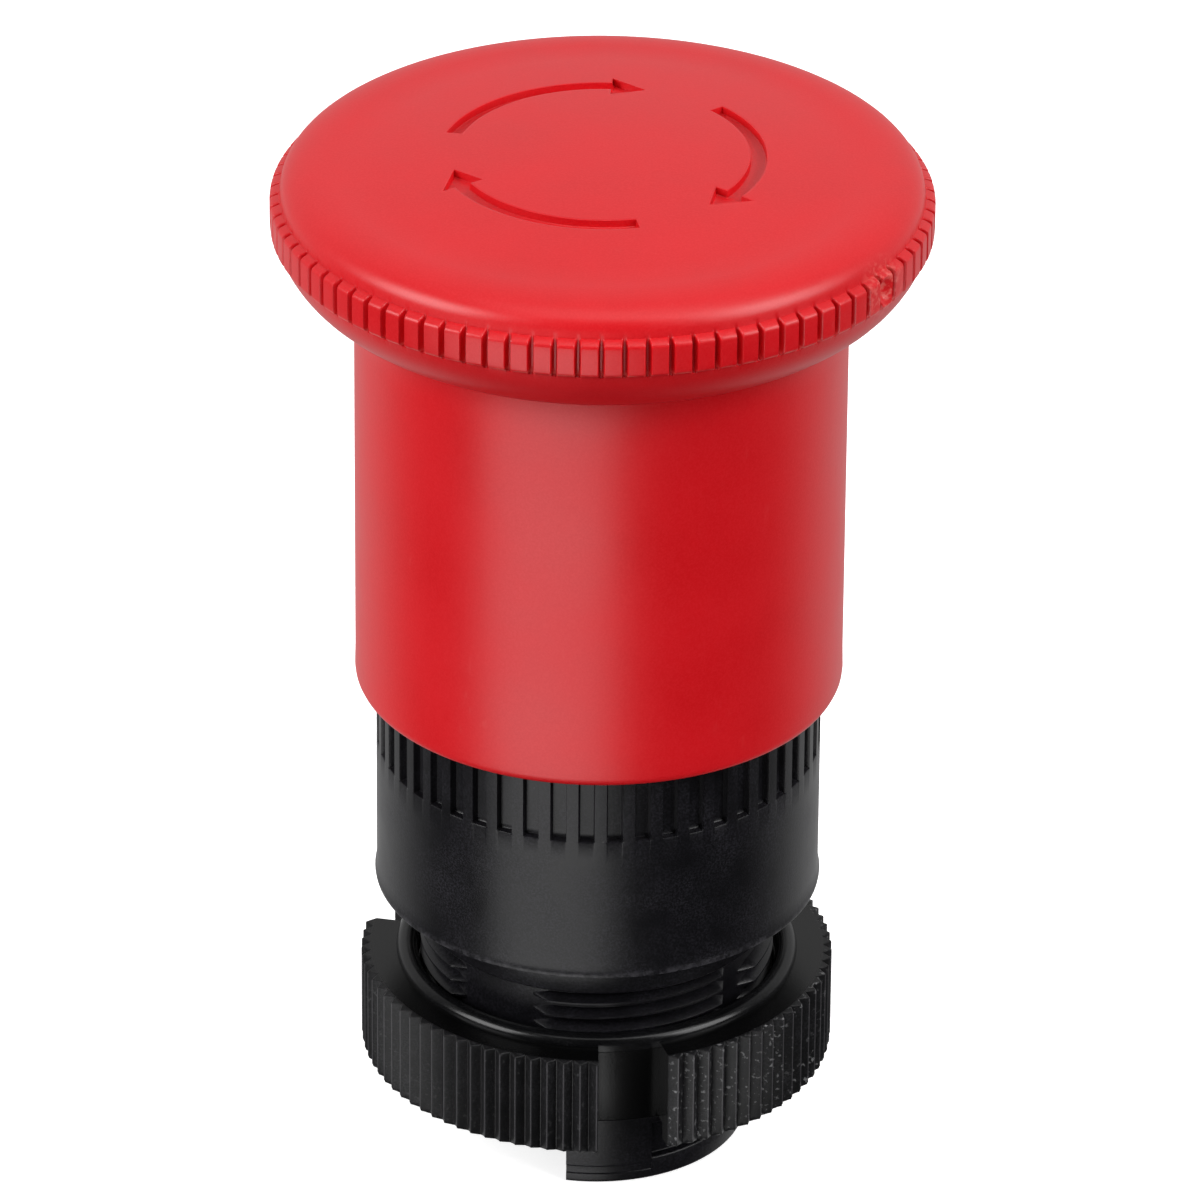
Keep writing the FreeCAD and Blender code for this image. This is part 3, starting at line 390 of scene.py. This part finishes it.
# The body's section, from the foot on the panel up, in, down the bore and up the neck.
BODY_FOOT = ((11.0, 0.0), (13.3, 0.0), (13.66, 0.03), (13.79, 0.1), (13.81, 0.22), (13.76, 0.36),
             (13.71, 0.6), (BARREL, 1.2), (BARREL, 3.0), (BARREL, 8.0))
BODY_TOP = ((BARREL, 32.98), (12.7, 33.0), (12.7, 34.4), (BARREL, 34.42), (BARREL, 36.9),
            (13.2, 37.4), (11.4, 37.4))
BODY_BORE = ((11.4, 36.95), (12.05, 36.95), (12.05, 36.2), (11.4, 36.2), (11.4, 27.5),
             (10.7, 27.5), (10.7, 4.8), (8.6, 4.8), (8.6, -6.0), (7.7, -6.0), (7.7, -8.0),
             (SLEEVE_BORE, -8.0), (SLEEVE_BORE, -12.6))
BODY_NECK = ((SLEEVE, -12.6), (SLEEVE, -12.05), (NECK_ROOT, -12.0), (NECK_ROOT, -7.0),
             (NECK_ROOT, -3.05), (10.5, -2.95), (10.92, -2.72),
             (NECK_CREST, -2.6), (NECK_CREST, -1.2))
# (height, depth) down the middle of a grip pocket.
POCKET_PROFILE = ((9.5, 0.0), (9.58, 0.04), (9.63, 0.2), (9.68, 0.38), (9.78, 0.44),
                  (10.0, POCKET_DEPTH), (14.0, POCKET_DEPTH), (18.0, POCKET_DEPTH),
                  (21.3, POCKET_DEPTH), (21.5, 0.4), (21.6, 0.0))


def pocket_share(angle):
    """1 in a grip pocket and 0 on the rib beside it."""
    away = from_nearest(angle, 360 / POCKETS, POCKET_OFFSET)
    return 1 - smooth_step(*POCKET_FLANK, away)


def barrel_section(angle):
    """The body's section, with its grip pockets cut by their share at this angle."""
    share = pocket_share(angle)
    grip = [(BARREL - depth * share, z) for z, depth in POCKET_PROFILE]
    return [*BODY_FOOT, *grip, *BODY_TOP, *BODY_BORE, *BODY_NECK]


def ridge_section(angle, height, crest):
    """A thread ridge's section at a given height; crest runs from 0 (flush) to 1 (full)."""
    foot = NECK_ROOT - 0.1 * (1 - crest)
    tip = foot + (NECK_CREST - NECK_ROOT) * crest
    inner = NECK_ROOT - 0.2
    half = 0.1 + 0.3 * crest
    z = height + PITCH * angle / 360
    return [(inner, z - half - 0.02), (foot, z - half), (tip - 0.05 * crest, z - 0.09),
            (tip, z - 0.05), (tip, z + 0.05), (tip - 0.05 * crest, z + 0.09),
            (foot, z + half), (inner, z + half + 0.02)]


def ridge_height_share(angle, start, end):
    """How far a thread ridge has risen: it slopes in before start and out after end."""
    rise = (angle - start) / THREAD_RUN_IN + 1
    fall = (end - angle) / THREAD_RUN_OUT + 1
    return min(max(min(rise, fall), 0.0), 1.0)


def add_neck_thread(shape):
    """Four sectors of thread, each with its runs of ridge stepping down by one pitch."""
    for start, end in THREAD_SECTORS:
        angles = even_angles(start - THREAD_RUN_IN, start, 1.0)[:-1]
        angles += even_angles(start, end, 2.0)
        angles += even_angles(end, end + THREAD_RUN_OUT, 1.0)[1:]
        for turn in THREAD_TURNS:
            height = THREAD_FRONT - turn * PITCH
            low, high = height + PITCH * start / 360, height + PITCH * end / 360
            if low < THREAD_BOTTOM or high > THREAD_TOP:
                continue
            rings = {
                a: ridge_section(a, height, ridge_height_share(a, start, end)) for a in angles
            }
            shape.sweep(angles, rings.get, closed_turn=False)


def add_sleeve(shape):
    """The bayonet sleeve's end: one plain land, a longer rim with a groove, and a gap."""
    bore, low, top = SLEEVE_BORE, SLEEVE_BOTTOM, SLEEVE_TOP
    land = rounded([
        (SLEEVE, low, 0.2), (SLEEVE, low + 0.62, 0.03), (SLEEVE - 0.05, low + 0.68, 0.03),
        (SLEEVE - 0.05, low + 1.15, 0.03), (SLEEVE, low + 1.21, 0.03), (SLEEVE, top, 0),
        (bore, top, 0), (bore, low, 0.12),
    ])
    rim_top, groove_top, groove = low + 1.5, SLEEVE_GROOVE_TOP, SLEEVE - 0.5
    rim = rounded([
        (SLEEVE, low, 0.2), (SLEEVE, low + 0.9, 0.05), (SLEEVE - 0.07, rim_top - 0.08, 0.15),
        (groove, rim_top, 0.1), (groove, groove_top, 0.1), (SLEEVE, groove_top, 0.1),
        (SLEEVE, top, 0), (bore, top, 0), (bore, low, 0.12),
    ])
    shape.sweep(even_angles(LAND_START, LAND_END, 1.5), lambda a: land, closed_turn=False)
    shape.sweep(even_angles(LAND_END, RIM_END, 1.5), lambda a: rim, closed_turn=False)


def bezel_body():
    shape = Shape()
    angles = repeated_angles(POCKETS, POCKET_OFFSET, POCKET_ANGLES)
    shape.sweep(angles, barrel_section)
    add_neck_thread(shape)
    add_sleeve(shape)
    piece = shape.piece("black_bezel_body", sharp_angle=38)
    return dress(piece, "housing", "bezel_body", "black_body_plastic")


# ---------------------------------------------------------------- mounting nut

NUT_RADIUS = 14.7
NUT_TEETH = 90
NUT_TOOTH_DEPTH = 0.5
NUT_TOOTH_OFFSET = 2.3
HUB = 12.5
NUT_BORE = 11.15
NUT_SEAT = -5.95
NUT_THREAD_TIP = 10.55
# Seven pitches below the neck's front ridge, and half a pitch off it.
NUT_THREAD_START = THREAD_FRONT - 7.0 + PITCH / 2
NUT_THREAD_SPAN = 1200
HUB_BOTTOM = -10.97
FLANGE_TOP, FLANGE_BOTTOM = -5.6, -12.1
GAP_MIDDLE, GAP_WIDTH = 9.5, 17.6
SLIP_BEAD, SLIP_BEAD_HEIGHT, SLIP_BORE = 0.6, -5.62, 11.2
SERRATION_ANGLES = (0.0, 0.1, 0.22, 0.55, 0.9, 1.3, 1.6, 1.8, 2.0, 2.2, 2.4, 2.7, 3.1, 3.45,
                    3.78, 3.9)


def serration_share(angle):
    """0 at the foot of a groove in the grip and 1 on a ridge's blunt tip."""
    pitch = 360 / NUT_TEETH
    away = from_nearest(angle, pitch, NUT_TOOTH_OFFSET) / (pitch / 2)
    return 1 - min(1.0, 1.04 - away) ** 1.1


def flange_section(angle):
    """The grip flange's section, serrated outside, with its serrations' lower ends rounded."""
    share = serration_share(angle)
    radius = NUT_RADIUS - NUT_TOOTH_DEPTH * (1 - share)
    top, low, inner = FLANGE_TOP, FLANGE_BOTTOM, HUB - 0.2
    return [(inner, top), (HUB + 0.05, top), (HUB + 0.6, top), (13.9, top),
            (radius - 0.1, top), (radius - 0.02, top - 0.04), (radius, top - 0.14),
            (radius, -8.0), (radius, -10.0), (radius, low + 0.4),
            (radius - 0.1 * share, low + 0.15), (radius - 0.02 - 0.34 * share, low),
            (13.3, low), (13.2, low + 0.1), (13.2, HUB_BOTTOM), (inner, HUB_BOTTOM)]


def nut_ridge(angle):
    """The section of the nut's inside thread, half a pitch away from the neck's ridges."""
    tip, root, inner = NUT_THREAD_TIP, NUT_BORE, NUT_BORE + 0.15
    z = NUT_THREAD_START + PITCH * angle / 360
    return [(inner, z - 0.32), (root, z - 0.31), (10.6, z - 0.1), (tip, z - 0.05),
            (tip, z + 0.05), (10.6, z + 0.1), (root, z + 0.31), (inner, z + 0.32)]


def mounting_nut():
    shape = Shape()
    hub = rounded([(HUB, HUB_BOTTOM, 0.12), (HUB, NUT_SEAT, 0.05), (NUT_BORE, NUT_SEAT, 0.1),
                   (NUT_BORE, HUB_BOTTOM, 0.2)])
    shape.sweep(full_turn(1.5), lambda a: hub)
    shape.sweep(even_angles(0, NUT_THREAD_SPAN, 3), nut_ridge, closed_turn=False)
    grip = repeated_angles(NUT_TEETH, NUT_TOOTH_OFFSET, SERRATION_ANGLES)
    for sector in range(3):
        start = GAP_MIDDLE + GAP_WIDTH / 2 + 120 * (sector - 1)
        end = start + 120 - GAP_WIDTH
        turned = grip + [angle - 360 for angle in grip]
        angles = [start, *sorted(a for a in turned if start < a < end), end]
        shape.sweep(angles, flange_section, closed_turn=False)
    piece = shape.piece("black_mounting_nut", sharp_angle=28)
    return dress(piece, "nut", "mounting_nut", "black_nut_plastic")


def nut_slip_ring():
    """The glossy ring in the nut's face: a round bead outside and a slope in to the thread."""
    bead = arc_points((HUB - SLIP_BEAD, SLIP_BEAD_HEIGHT), SLIP_BEAD, 0, 130, 12)
    slope = [(11.42, -5.3), (11.36, -5.5), (SLIP_BORE, -5.6), (SLIP_BORE, NUT_SEAT)]
    section = [(HUB, NUT_SEAT)] + bead + slope
    shape = Shape()
    shape.sweep(full_turn(1.5), lambda a: section)
    piece = shape.piece("black_slip_ring", sharp_angle=40)
    return dress(piece, "slip_ring", "nut_slip_ring", "gloss_ring_plastic")


# ---------------------------------------------------------------- materials


def node(tree, kind, inputs=(), **settings):
    """A new shader node; inputs are (socket, value or socket to link from) pairs."""
    made = tree.nodes.new("ShaderNode" + kind)
    for key, value in settings.items():
        setattr(made, key, value)
    for key, value in inputs:
        if isinstance(value, bpy.types.NodeSocket):
            tree.links.new(value, made.inputs[key])
        else:
            made.inputs[key].default_value = value
    return made


def noise(tree, place, size, detail=2.0, contrast=None):
    """Noise with features of about size millimetres, from 0 to 1."""
    made = node(
        tree, "TexNoise", [("Vector", place), ("Scale", 1 / (size * MM)), ("Detail", detail)]
    )
    if contrast is None:
        return made.outputs["Fac"]
    return ramp(tree, made.outputs["Fac"], *contrast)


def ramp(tree, value, low, high, start=0.0, end=1.0):
    """value carried from low..high to start..end, held at the ends."""
    made = node(tree, "MapRange", [
        ("Value", value), ("From Min", low), ("From Max", high), ("To Min", start), ("To Max", end)
    ])
    return made.outputs["Result"]


def maths(tree, operation, first, second=0.0):
    """The output of a maths node."""
    return node(tree, "Math", [(0, first), (1, second)], operation=operation).outputs[0]


def product(tree, first, *others):
    """All the values multiplied together."""
    for other in others:
        first = maths(tree, "MULTIPLY", first, other)
    return first


def mix_colour(tree, share, first, second):
    """The first colour at share 0, the second at share 1."""
    made = node(tree, "Mix", [(0, share), (6, first), (7, second)], data_type="RGBA")
    return made.outputs[2]


def bump(tree, height, strength, distance, before=None):
    """A bump of distance millimetres from a height between 0 and 1."""
    links = [("Height", height), ("Strength", strength), ("Distance", distance * MM)]
    if before is not None:
        links.append(("Normal", before))
    return node(tree, "Bump", links).outputs["Normal"]


def new_material(name):
    """A material, its tree, its shader and its place coordinates in metres."""
    material = bpy.data.materials.new(name + "_look")
    material.use_nodes = True
    tree = material.node_tree
    shader = tree.nodes["Principled BSDF"]
    place = node(tree, "TexCoord").outputs["Object"]
    return material, tree, shader, place


def connect(tree, shader, **sockets):
    """Link each source to the shader's input of that name, with spaces for underscores."""
    for name, source in sockets.items():
        tree.links.new(source, shader.inputs[name.replace("_", " ")])


def rim_wear(tree, place):
    """Pale rubbing on the teeth's lower edges and round the chip, from 0 to 0.6."""
    height = node(tree, "SeparateXYZ", [("Vector", place)]).outputs["Z"]
    above = ramp(tree, height, 44.6 * MM, 44.63 * MM)
    below = ramp(tree, height, 44.85 * MM, 44.72 * MM)
    edge = product(tree, above, below, 0.4, noise(tree, place, 0.6, 3.0, (0.4, 0.6)))
    chip = polar(CAP_RADIUS, CHIP_ANGLE, CHIP_HEIGHT)
    away = node(tree, "VectorMath", [(0, place), (1, chip)], operation="DISTANCE").outputs["Value"]
    near = ramp(tree, away, 2.4 * MM, 0.9 * MM, 0.0, 0.6)
    rubbed = product(tree, near, noise(tree, place, 0.35, 4.0, (0.46, 0.6)))
    return maths(tree, "MAXIMUM", edge, rubbed)


def red_plastic():
    """Satin moulded red, with a faint mottle, fine grain and a few pale scuffs."""
    material, tree, shader, place = new_material("red_cap_plastic")
    mottle = noise(tree, place, 6.0, 4.0, (0.3, 0.7))
    colour = mix_colour(tree, mottle, (0.6, 0.0018, 0.006, 1), (0.65, 0.0026, 0.008, 1))
    stretched = node(tree, "Mapping", [("Vector", place), ("Scale", (1.0, 1.0, 0.28))])
    scuffs = noise(tree, stretched.outputs["Vector"], 0.5, 5.0, (0.66, 0.78))
    patches = noise(tree, place, 7.0, 2.0, (0.5, 0.68))
    faint = product(tree, scuffs, patches, 0.16)
    colour = mix_colour(tree, faint, colour, (0.78, 0.22, 0.2, 1))
    colour = mix_colour(tree, rim_wear(tree, place), colour, (0.8, 0.2, 0.17, 1))
    fine = noise(tree, place, 0.13, 3.0)
    grain = ramp(tree, fine, 0.38, 0.68, 0.0, 0.3)
    colour = mix_colour(tree, grain, colour, (0.72, 0.03, 0.035, 1))
    rough = maths(tree, "ADD", ramp(tree, mottle, 0, 1, 0.35, 0.4), faint)
    normal = bump(tree, fine, 0.35, 0.012)
    normal = bump(tree, noise(tree, place, 1.6, 2.0), 0.25, 0.02, normal)
    connect(tree, shader, Base_Color=colour, Roughness=rough, Normal=normal)
    shader.inputs["IOR"].default_value = 1.5
    shader.inputs["Subsurface Weight"].default_value = 0.06
    shader.inputs["Subsurface Radius"].default_value = (1.0, 0.12, 0.1)
    shader.inputs["Subsurface Scale"].default_value = 0.6 * MM
    return material


def black_plastic(name, colour, roughness, grain, speckle, edge_wear=0.0):
    """Fine-grained black moulding.

    speckle sets how many pale worn dots it carries, and edge_wear how rubbed its lower edge is.
    """
    material, tree, shader, place = new_material(name)
    mottle = noise(tree, place, 3.0, 4.0, (0.3, 0.7))
    fine = noise(tree, place, 0.13, 3.0)
    pale = tuple(channel * 5.0 for channel in colour)
    flecks = product(tree, mottle, ramp(tree, fine, 0.42, 0.66))
    base = mix_colour(tree, flecks, (*colour, 1), (*pale, 1))
    dots = noise(tree, place, 0.22, 2.0, (0.74, 0.8))
    patches = noise(tree, place, 4.0, 1.0, (0.5, 0.62))
    worn = product(tree, dots, patches, speckle)
    base = mix_colour(tree, worn, base, (0.16, 0.16, 0.165, 1))
    if edge_wear:
        height = node(tree, "SeparateXYZ", [("Vector", place)]).outputs["Z"]
        low = ramp(tree, height, 0.5 * MM, 0.1 * MM)
        above = ramp(tree, height, 0.0, 0.06 * MM)
        rubbed = product(
            tree, low, noise(tree, place, 0.5, 4.0, (0.42, 0.6)), above, edge_wear
        )
        base = mix_colour(tree, rubbed, base, (0.13, 0.125, 0.14, 1))
    rough = ramp(tree, mottle, 0, 1, roughness - 0.03, roughness + 0.04)
    normal = bump(tree, fine, 0.4, grain)
    normal = bump(tree, noise(tree, place, 1.3, 2.0), 0.2, 0.015, normal)
    connect(tree, shader, Base_Color=base, Roughness=rough, Normal=normal)
    shader.inputs["Specular IOR Level"].default_value = 0.31
    return material


def nut_plastic():
    """The nut's black: a worn, paler grip on the outside and a polished top inside it, whose
    darker colour is painted shade from the bezel above it.
    """
    material, tree, shader, place = new_material("black_nut_plastic")
    parts = node(tree, "SeparateXYZ", [("Vector", place)])
    squares = [product(tree, parts.outputs[axis], parts.outputs[axis]) for axis in "XY"]
    radius = maths(tree, "SQRT", maths(tree, "ADD", *squares))
    # grip is 1 on the worn grip and 0 on the top and hub inside it, which get painted shade.
    grip = ramp(tree, radius, 14.05 * MM, 14.25 * MM)
    fine = noise(tree, place, 0.13, 3.0)
    mottle = noise(tree, place, 2.5, 4.0, (0.3, 0.7))
    worn = product(tree, mottle, ramp(tree, fine, 0.4, 0.66))
    rubbed = mix_colour(tree, worn, (0.005, 0.005, 0.0055, 1), (0.022, 0.0215, 0.024, 1))
    dots = noise(tree, place, 0.3, 3.0, (0.6, 0.7))
    patches = noise(tree, place, 6.0, 1.0, (0.4, 0.52))
    right = ramp(tree, parts.outputs["X"], 2.5 * MM, 4.0 * MM, 0.12, 0.9)
    scraped = product(tree, dots, patches, right)
    rubbed = mix_colour(tree, scraped, rubbed, (0.2, 0.2, 0.205, 1))
    tips = ramp(tree, radius, 14.63 * MM, 14.69 * MM, 0.0, 0.5)
    rubbed = mix_colour(tree, tips, rubbed, (0.15, 0.145, 0.155, 1))
    # Near black inside the grip: painted shade where the bezel shades the nut's top and hub.
    base = mix_colour(tree, grip, (0.0015, 0.0015, 0.0016, 1), rubbed)
    rough = ramp(tree, grip, 0, 1, 0.24, 0.44)
    normal = bump(tree, fine, 0.4, 0.014)
    connect(tree, shader, Base_Color=base, Roughness=rough, Normal=normal)
    shader.inputs["Specular IOR Level"].default_value = 0.28
    return material


def rubber():
    """Matt dark seal rubber."""
    material, tree, shader, place = new_material("seal_rubber")
    mottle = noise(tree, place, 0.8, 4.0, (0.3, 0.7))
    base = mix_colour(tree, mottle, (0.012, 0.012, 0.012, 1), (0.024, 0.023, 0.022, 1))
    rough = ramp(tree, mottle, 0, 1, 0.6, 0.75)
    normal = bump(tree, noise(tree, place, 0.1, 3.0), 0.5, 0.012)
    connect(tree, shader, Base_Color=base, Roughness=rough, Normal=normal)
    return material


def pale_plastic(name, dark, light, roughness):
    """A low-friction moulding in white or grey, slightly waxy."""
    material, tree, shader, place = new_material(name)
    mottle = noise(tree, place, 2.2, 3.0, (0.3, 0.7))
    base = mix_colour(tree, mottle, (*dark, 1), (*light, 1))
    rough = ramp(tree, mottle, 0, 1, roughness - 0.04, roughness + 0.04)
    normal = bump(tree, noise(tree, place, 0.15, 3.0), 0.3, 0.008)
    connect(tree, shader, Base_Color=base, Roughness=rough, Normal=normal)
    shader.inputs["Subsurface Weight"].default_value = 0.1
    shader.inputs["Subsurface Scale"].default_value = 0.5 * MM
    return material


def metal(name, dark, light, roughness, grain_scale):
    """Drawn wire, pressed or turned metal: fine lines stretched by grain_scale."""
    material, tree, shader, place = new_material(name)
    lines = node(tree, "Mapping", [("Vector", place), ("Scale", grain_scale)])
    grain = noise(tree, lines.outputs["Vector"], 0.2, 3.0)
    stain = noise(tree, place, 1.5, 3.0, (0.35, 0.7))
    base = mix_colour(tree, stain, (*dark, 1), (*light, 1))
    rough = ramp(tree, grain, 0.3, 0.7, roughness - 0.06, roughness + 0.08)
    normal = bump(tree, grain, 0.25, 0.006)
    connect(tree, shader, Base_Color=base, Roughness=rough, Normal=normal)
    shader.inputs["Metallic"].default_value = 1.0
    return material


def floor_material():
    """Near-white paper with the faintest tooth."""
    material, tree, shader, place = new_material("floor_paper")
    tone = noise(tree, place, 60.0, 2.0, (0.3, 0.7))
    base = mix_colour(tree, tone, (0.86, 0.86, 0.86, 1), (0.9, 0.9, 0.9, 1))
    connect(tree, shader, Base_Color=base)
    shader.inputs["Roughness"].default_value = 0.9
    shader.inputs["Specular IOR Level"].default_value = 0.1
    shader.inputs["Emission Color"].default_value = (1, 1, 1, 1)
    shader.inputs["Emission Strength"].default_value = 0.7
    return material


def all_materials():
    """One material for each of the record's material slots."""
    materials = [
        red_plastic(),
        black_plastic("black_body_plastic", (0.004, 0.0038, 0.0048), 0.34, 0.014, 0.35, 0.3),
        nut_plastic(),
        black_plastic("gloss_ring_plastic", (0.0025, 0.0025, 0.0028), 0.23, 0.002, 0.05),
        rubber(),
        pale_plastic("white_bearing_plastic", (0.66, 0.65, 0.6), (0.78, 0.77, 0.73), 0.4),
        pale_plastic("grey_plunger_plastic", (0.2, 0.2, 0.21), (0.27, 0.27, 0.28), 0.42),
        metal("spring_steel", (0.32, 0.32, 0.33), (0.5, 0.5, 0.5), 0.3, (1.0, 1.0, 1.0)),
        metal("washer_steel", (0.42, 0.42, 0.42), (0.6, 0.6, 0.59), 0.34, (1.0, 0.2, 1.0)),
        metal("spindle_alloy", (0.5, 0.5, 0.51), (0.68, 0.68, 0.69), 0.32, (0.15, 0.15, 1.0)),
    ]
    return {material.name.removesuffix("_look"): material for material in materials}


MATERIALS = all_materials()


def dress(piece, body, cad_node, slot):
    """Give a piece its finish, its body, and the CAD node it stands for."""
    piece.data.materials.append(MATERIALS[slot])
    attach(piece, body)
    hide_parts(cad_node)
    return piece


def dress_cad_nodes():
    """The pieces whose CAD shape stays get the finish of the slot the record gives them."""
    for subpart in frame["record"]["subparts"]:
        for slot in frame["nodes"][subpart["node"]].material_slots:
            slot.material = MATERIALS[subpart["material_slot"]]


# ---------------------------------------------------------------- studio

LIGHT_AIM = (0, 0, 0.02)
FLOOR_GAP = 0.00002
CAMERA_LENS, CAMERA_SENSOR = 312.46, 36.0
CAMERA_PLACE = (0, -0.55929, 0.32717)
CAMERA_DOWN, CAMERA_YAW, CAMERA_ROLL = 28.866, -0.0039, 0.46


def studio_world():
    """A white backdrop behind the object, dark in front, and plain white to the camera."""
    world = bpy.data.worlds.new("studio")
    world.use_nodes = True
    bpy.context.scene.world = world
    tree = world.node_tree
    tree.nodes.clear()
    direction = node(tree, "TexCoord").outputs["Generated"]
    parts = node(tree, "SeparateXYZ", [("Vector", direction)])
    behind = ramp(tree, parts.outputs["Y"], 0.0, 0.5, 0.02, 0.6)
    seen = node(tree, "LightPath").outputs["Is Camera Ray"]
    strength = maths(tree, "MAXIMUM", behind, seen)
    light = node(tree, "Background", [("Color", (1, 1, 1, 1)), ("Strength", strength)])
    output = node(tree, "OutputWorld")
    tree.links.new(light.outputs["Background"], output.inputs["Surface"])


def softbox(name, azimuth, elevation, distance, size, power):
    """An area light aimed at LIGHT_AIM; azimuth runs from the front to +X, sizes in metres."""
    data = bpy.data.lights.new(name, "AREA")
    data.shape = "RECTANGLE"
    data.size, data.size_y = size
    data.energy = power
    light = bpy.data.objects.new(name, data)
    across = distance * math.cos(math.radians(elevation))
    aim = Vector(LIGHT_AIM)
    place = aim + Vector((
        across * math.sin(math.radians(azimuth)),
        -across * math.cos(math.radians(azimuth)),
        distance * math.sin(math.radians(elevation)),
    ))
    light.matrix_world = Matrix.LocRotScale(place, (place - aim).to_track_quat("Z", "Y"), None)
    light.visible_camera = False
    bpy.context.scene.collection.objects.link(light)


def studio_lights():
    """Each light's azimuth, elevation, distance, size and power."""
    softbox("left_softbox", -65, 28, 0.7, (0.42, 0.42), 4.0)
    softbox("right_softbox", 65, 28, 0.7, (0.42, 0.42), 3.3)
    softbox("low_front_panel", -24, -27, 0.6, (0.6, 0.34), 1.7)
    softbox("right_high_softbox", 60, 52, 0.7, (0.34, 0.34), 1.0)
    softbox("top_softbox", 0, 80, 0.8, (0.6, 0.6), 1.6)


def studio_floor():
    """A pale sheet under the object, which doesn't reflect in it or block the light below it."""
    bm = bmesh.new()
    bmesh.ops.create_grid(bm, x_segments=24, y_segments=24, size=1.5)
    mesh = bpy.data.meshes.new("floor")
    bm.to_mesh(mesh)
    bm.free()
    floor = bpy.data.objects.new("floor", mesh)
    floor.location.z = SLEEVE_BOTTOM * MM - FLOOR_GAP
    floor.data.materials.append(floor_material())
    floor.visible_glossy = False
    floor.visible_diffuse = False
    floor.visible_shadow = False
    bpy.context.scene.collection.objects.link(floor)


def photo_camera():
    """A long lens looking down at the front, tipped a little as the photograph's view is."""
    data = bpy.data.cameras.new("photo_camera")
    data.lens = CAMERA_LENS
    data.sensor_width = CAMERA_SENSOR
    data.clip_start, data.clip_end = 0.05, 20.0
    camera = bpy.data.objects.new("photo_camera", data)
    tilt, yaw, roll = (math.radians(a) for a in (90 - CAMERA_DOWN, CAMERA_YAW, CAMERA_ROLL))
    turned = Matrix.Rotation(yaw, 4, "Z") @ Matrix.Rotation(tilt, 4, "X")
    turned = turned @ Matrix.Rotation(roll, 4, "Z")
    camera.matrix_world = Matrix.Translation(CAMERA_PLACE) @ turned
    bpy.context.scene.collection.objects.link(camera)
    bpy.context.scene.camera = camera


def build_scene():
    """Dress the CAD pieces, make the visual ones, and set up the studio."""
    bpy.context.scene.view_settings.view_transform = "Standard"
    dress_cad_nodes()
    mushroom_cap()
    bezel_body()
    mounting_nut()
    nut_slip_ring()
    studio_world()
    studio_lights()
    studio_floor()
    photo_camera()


build_scene()
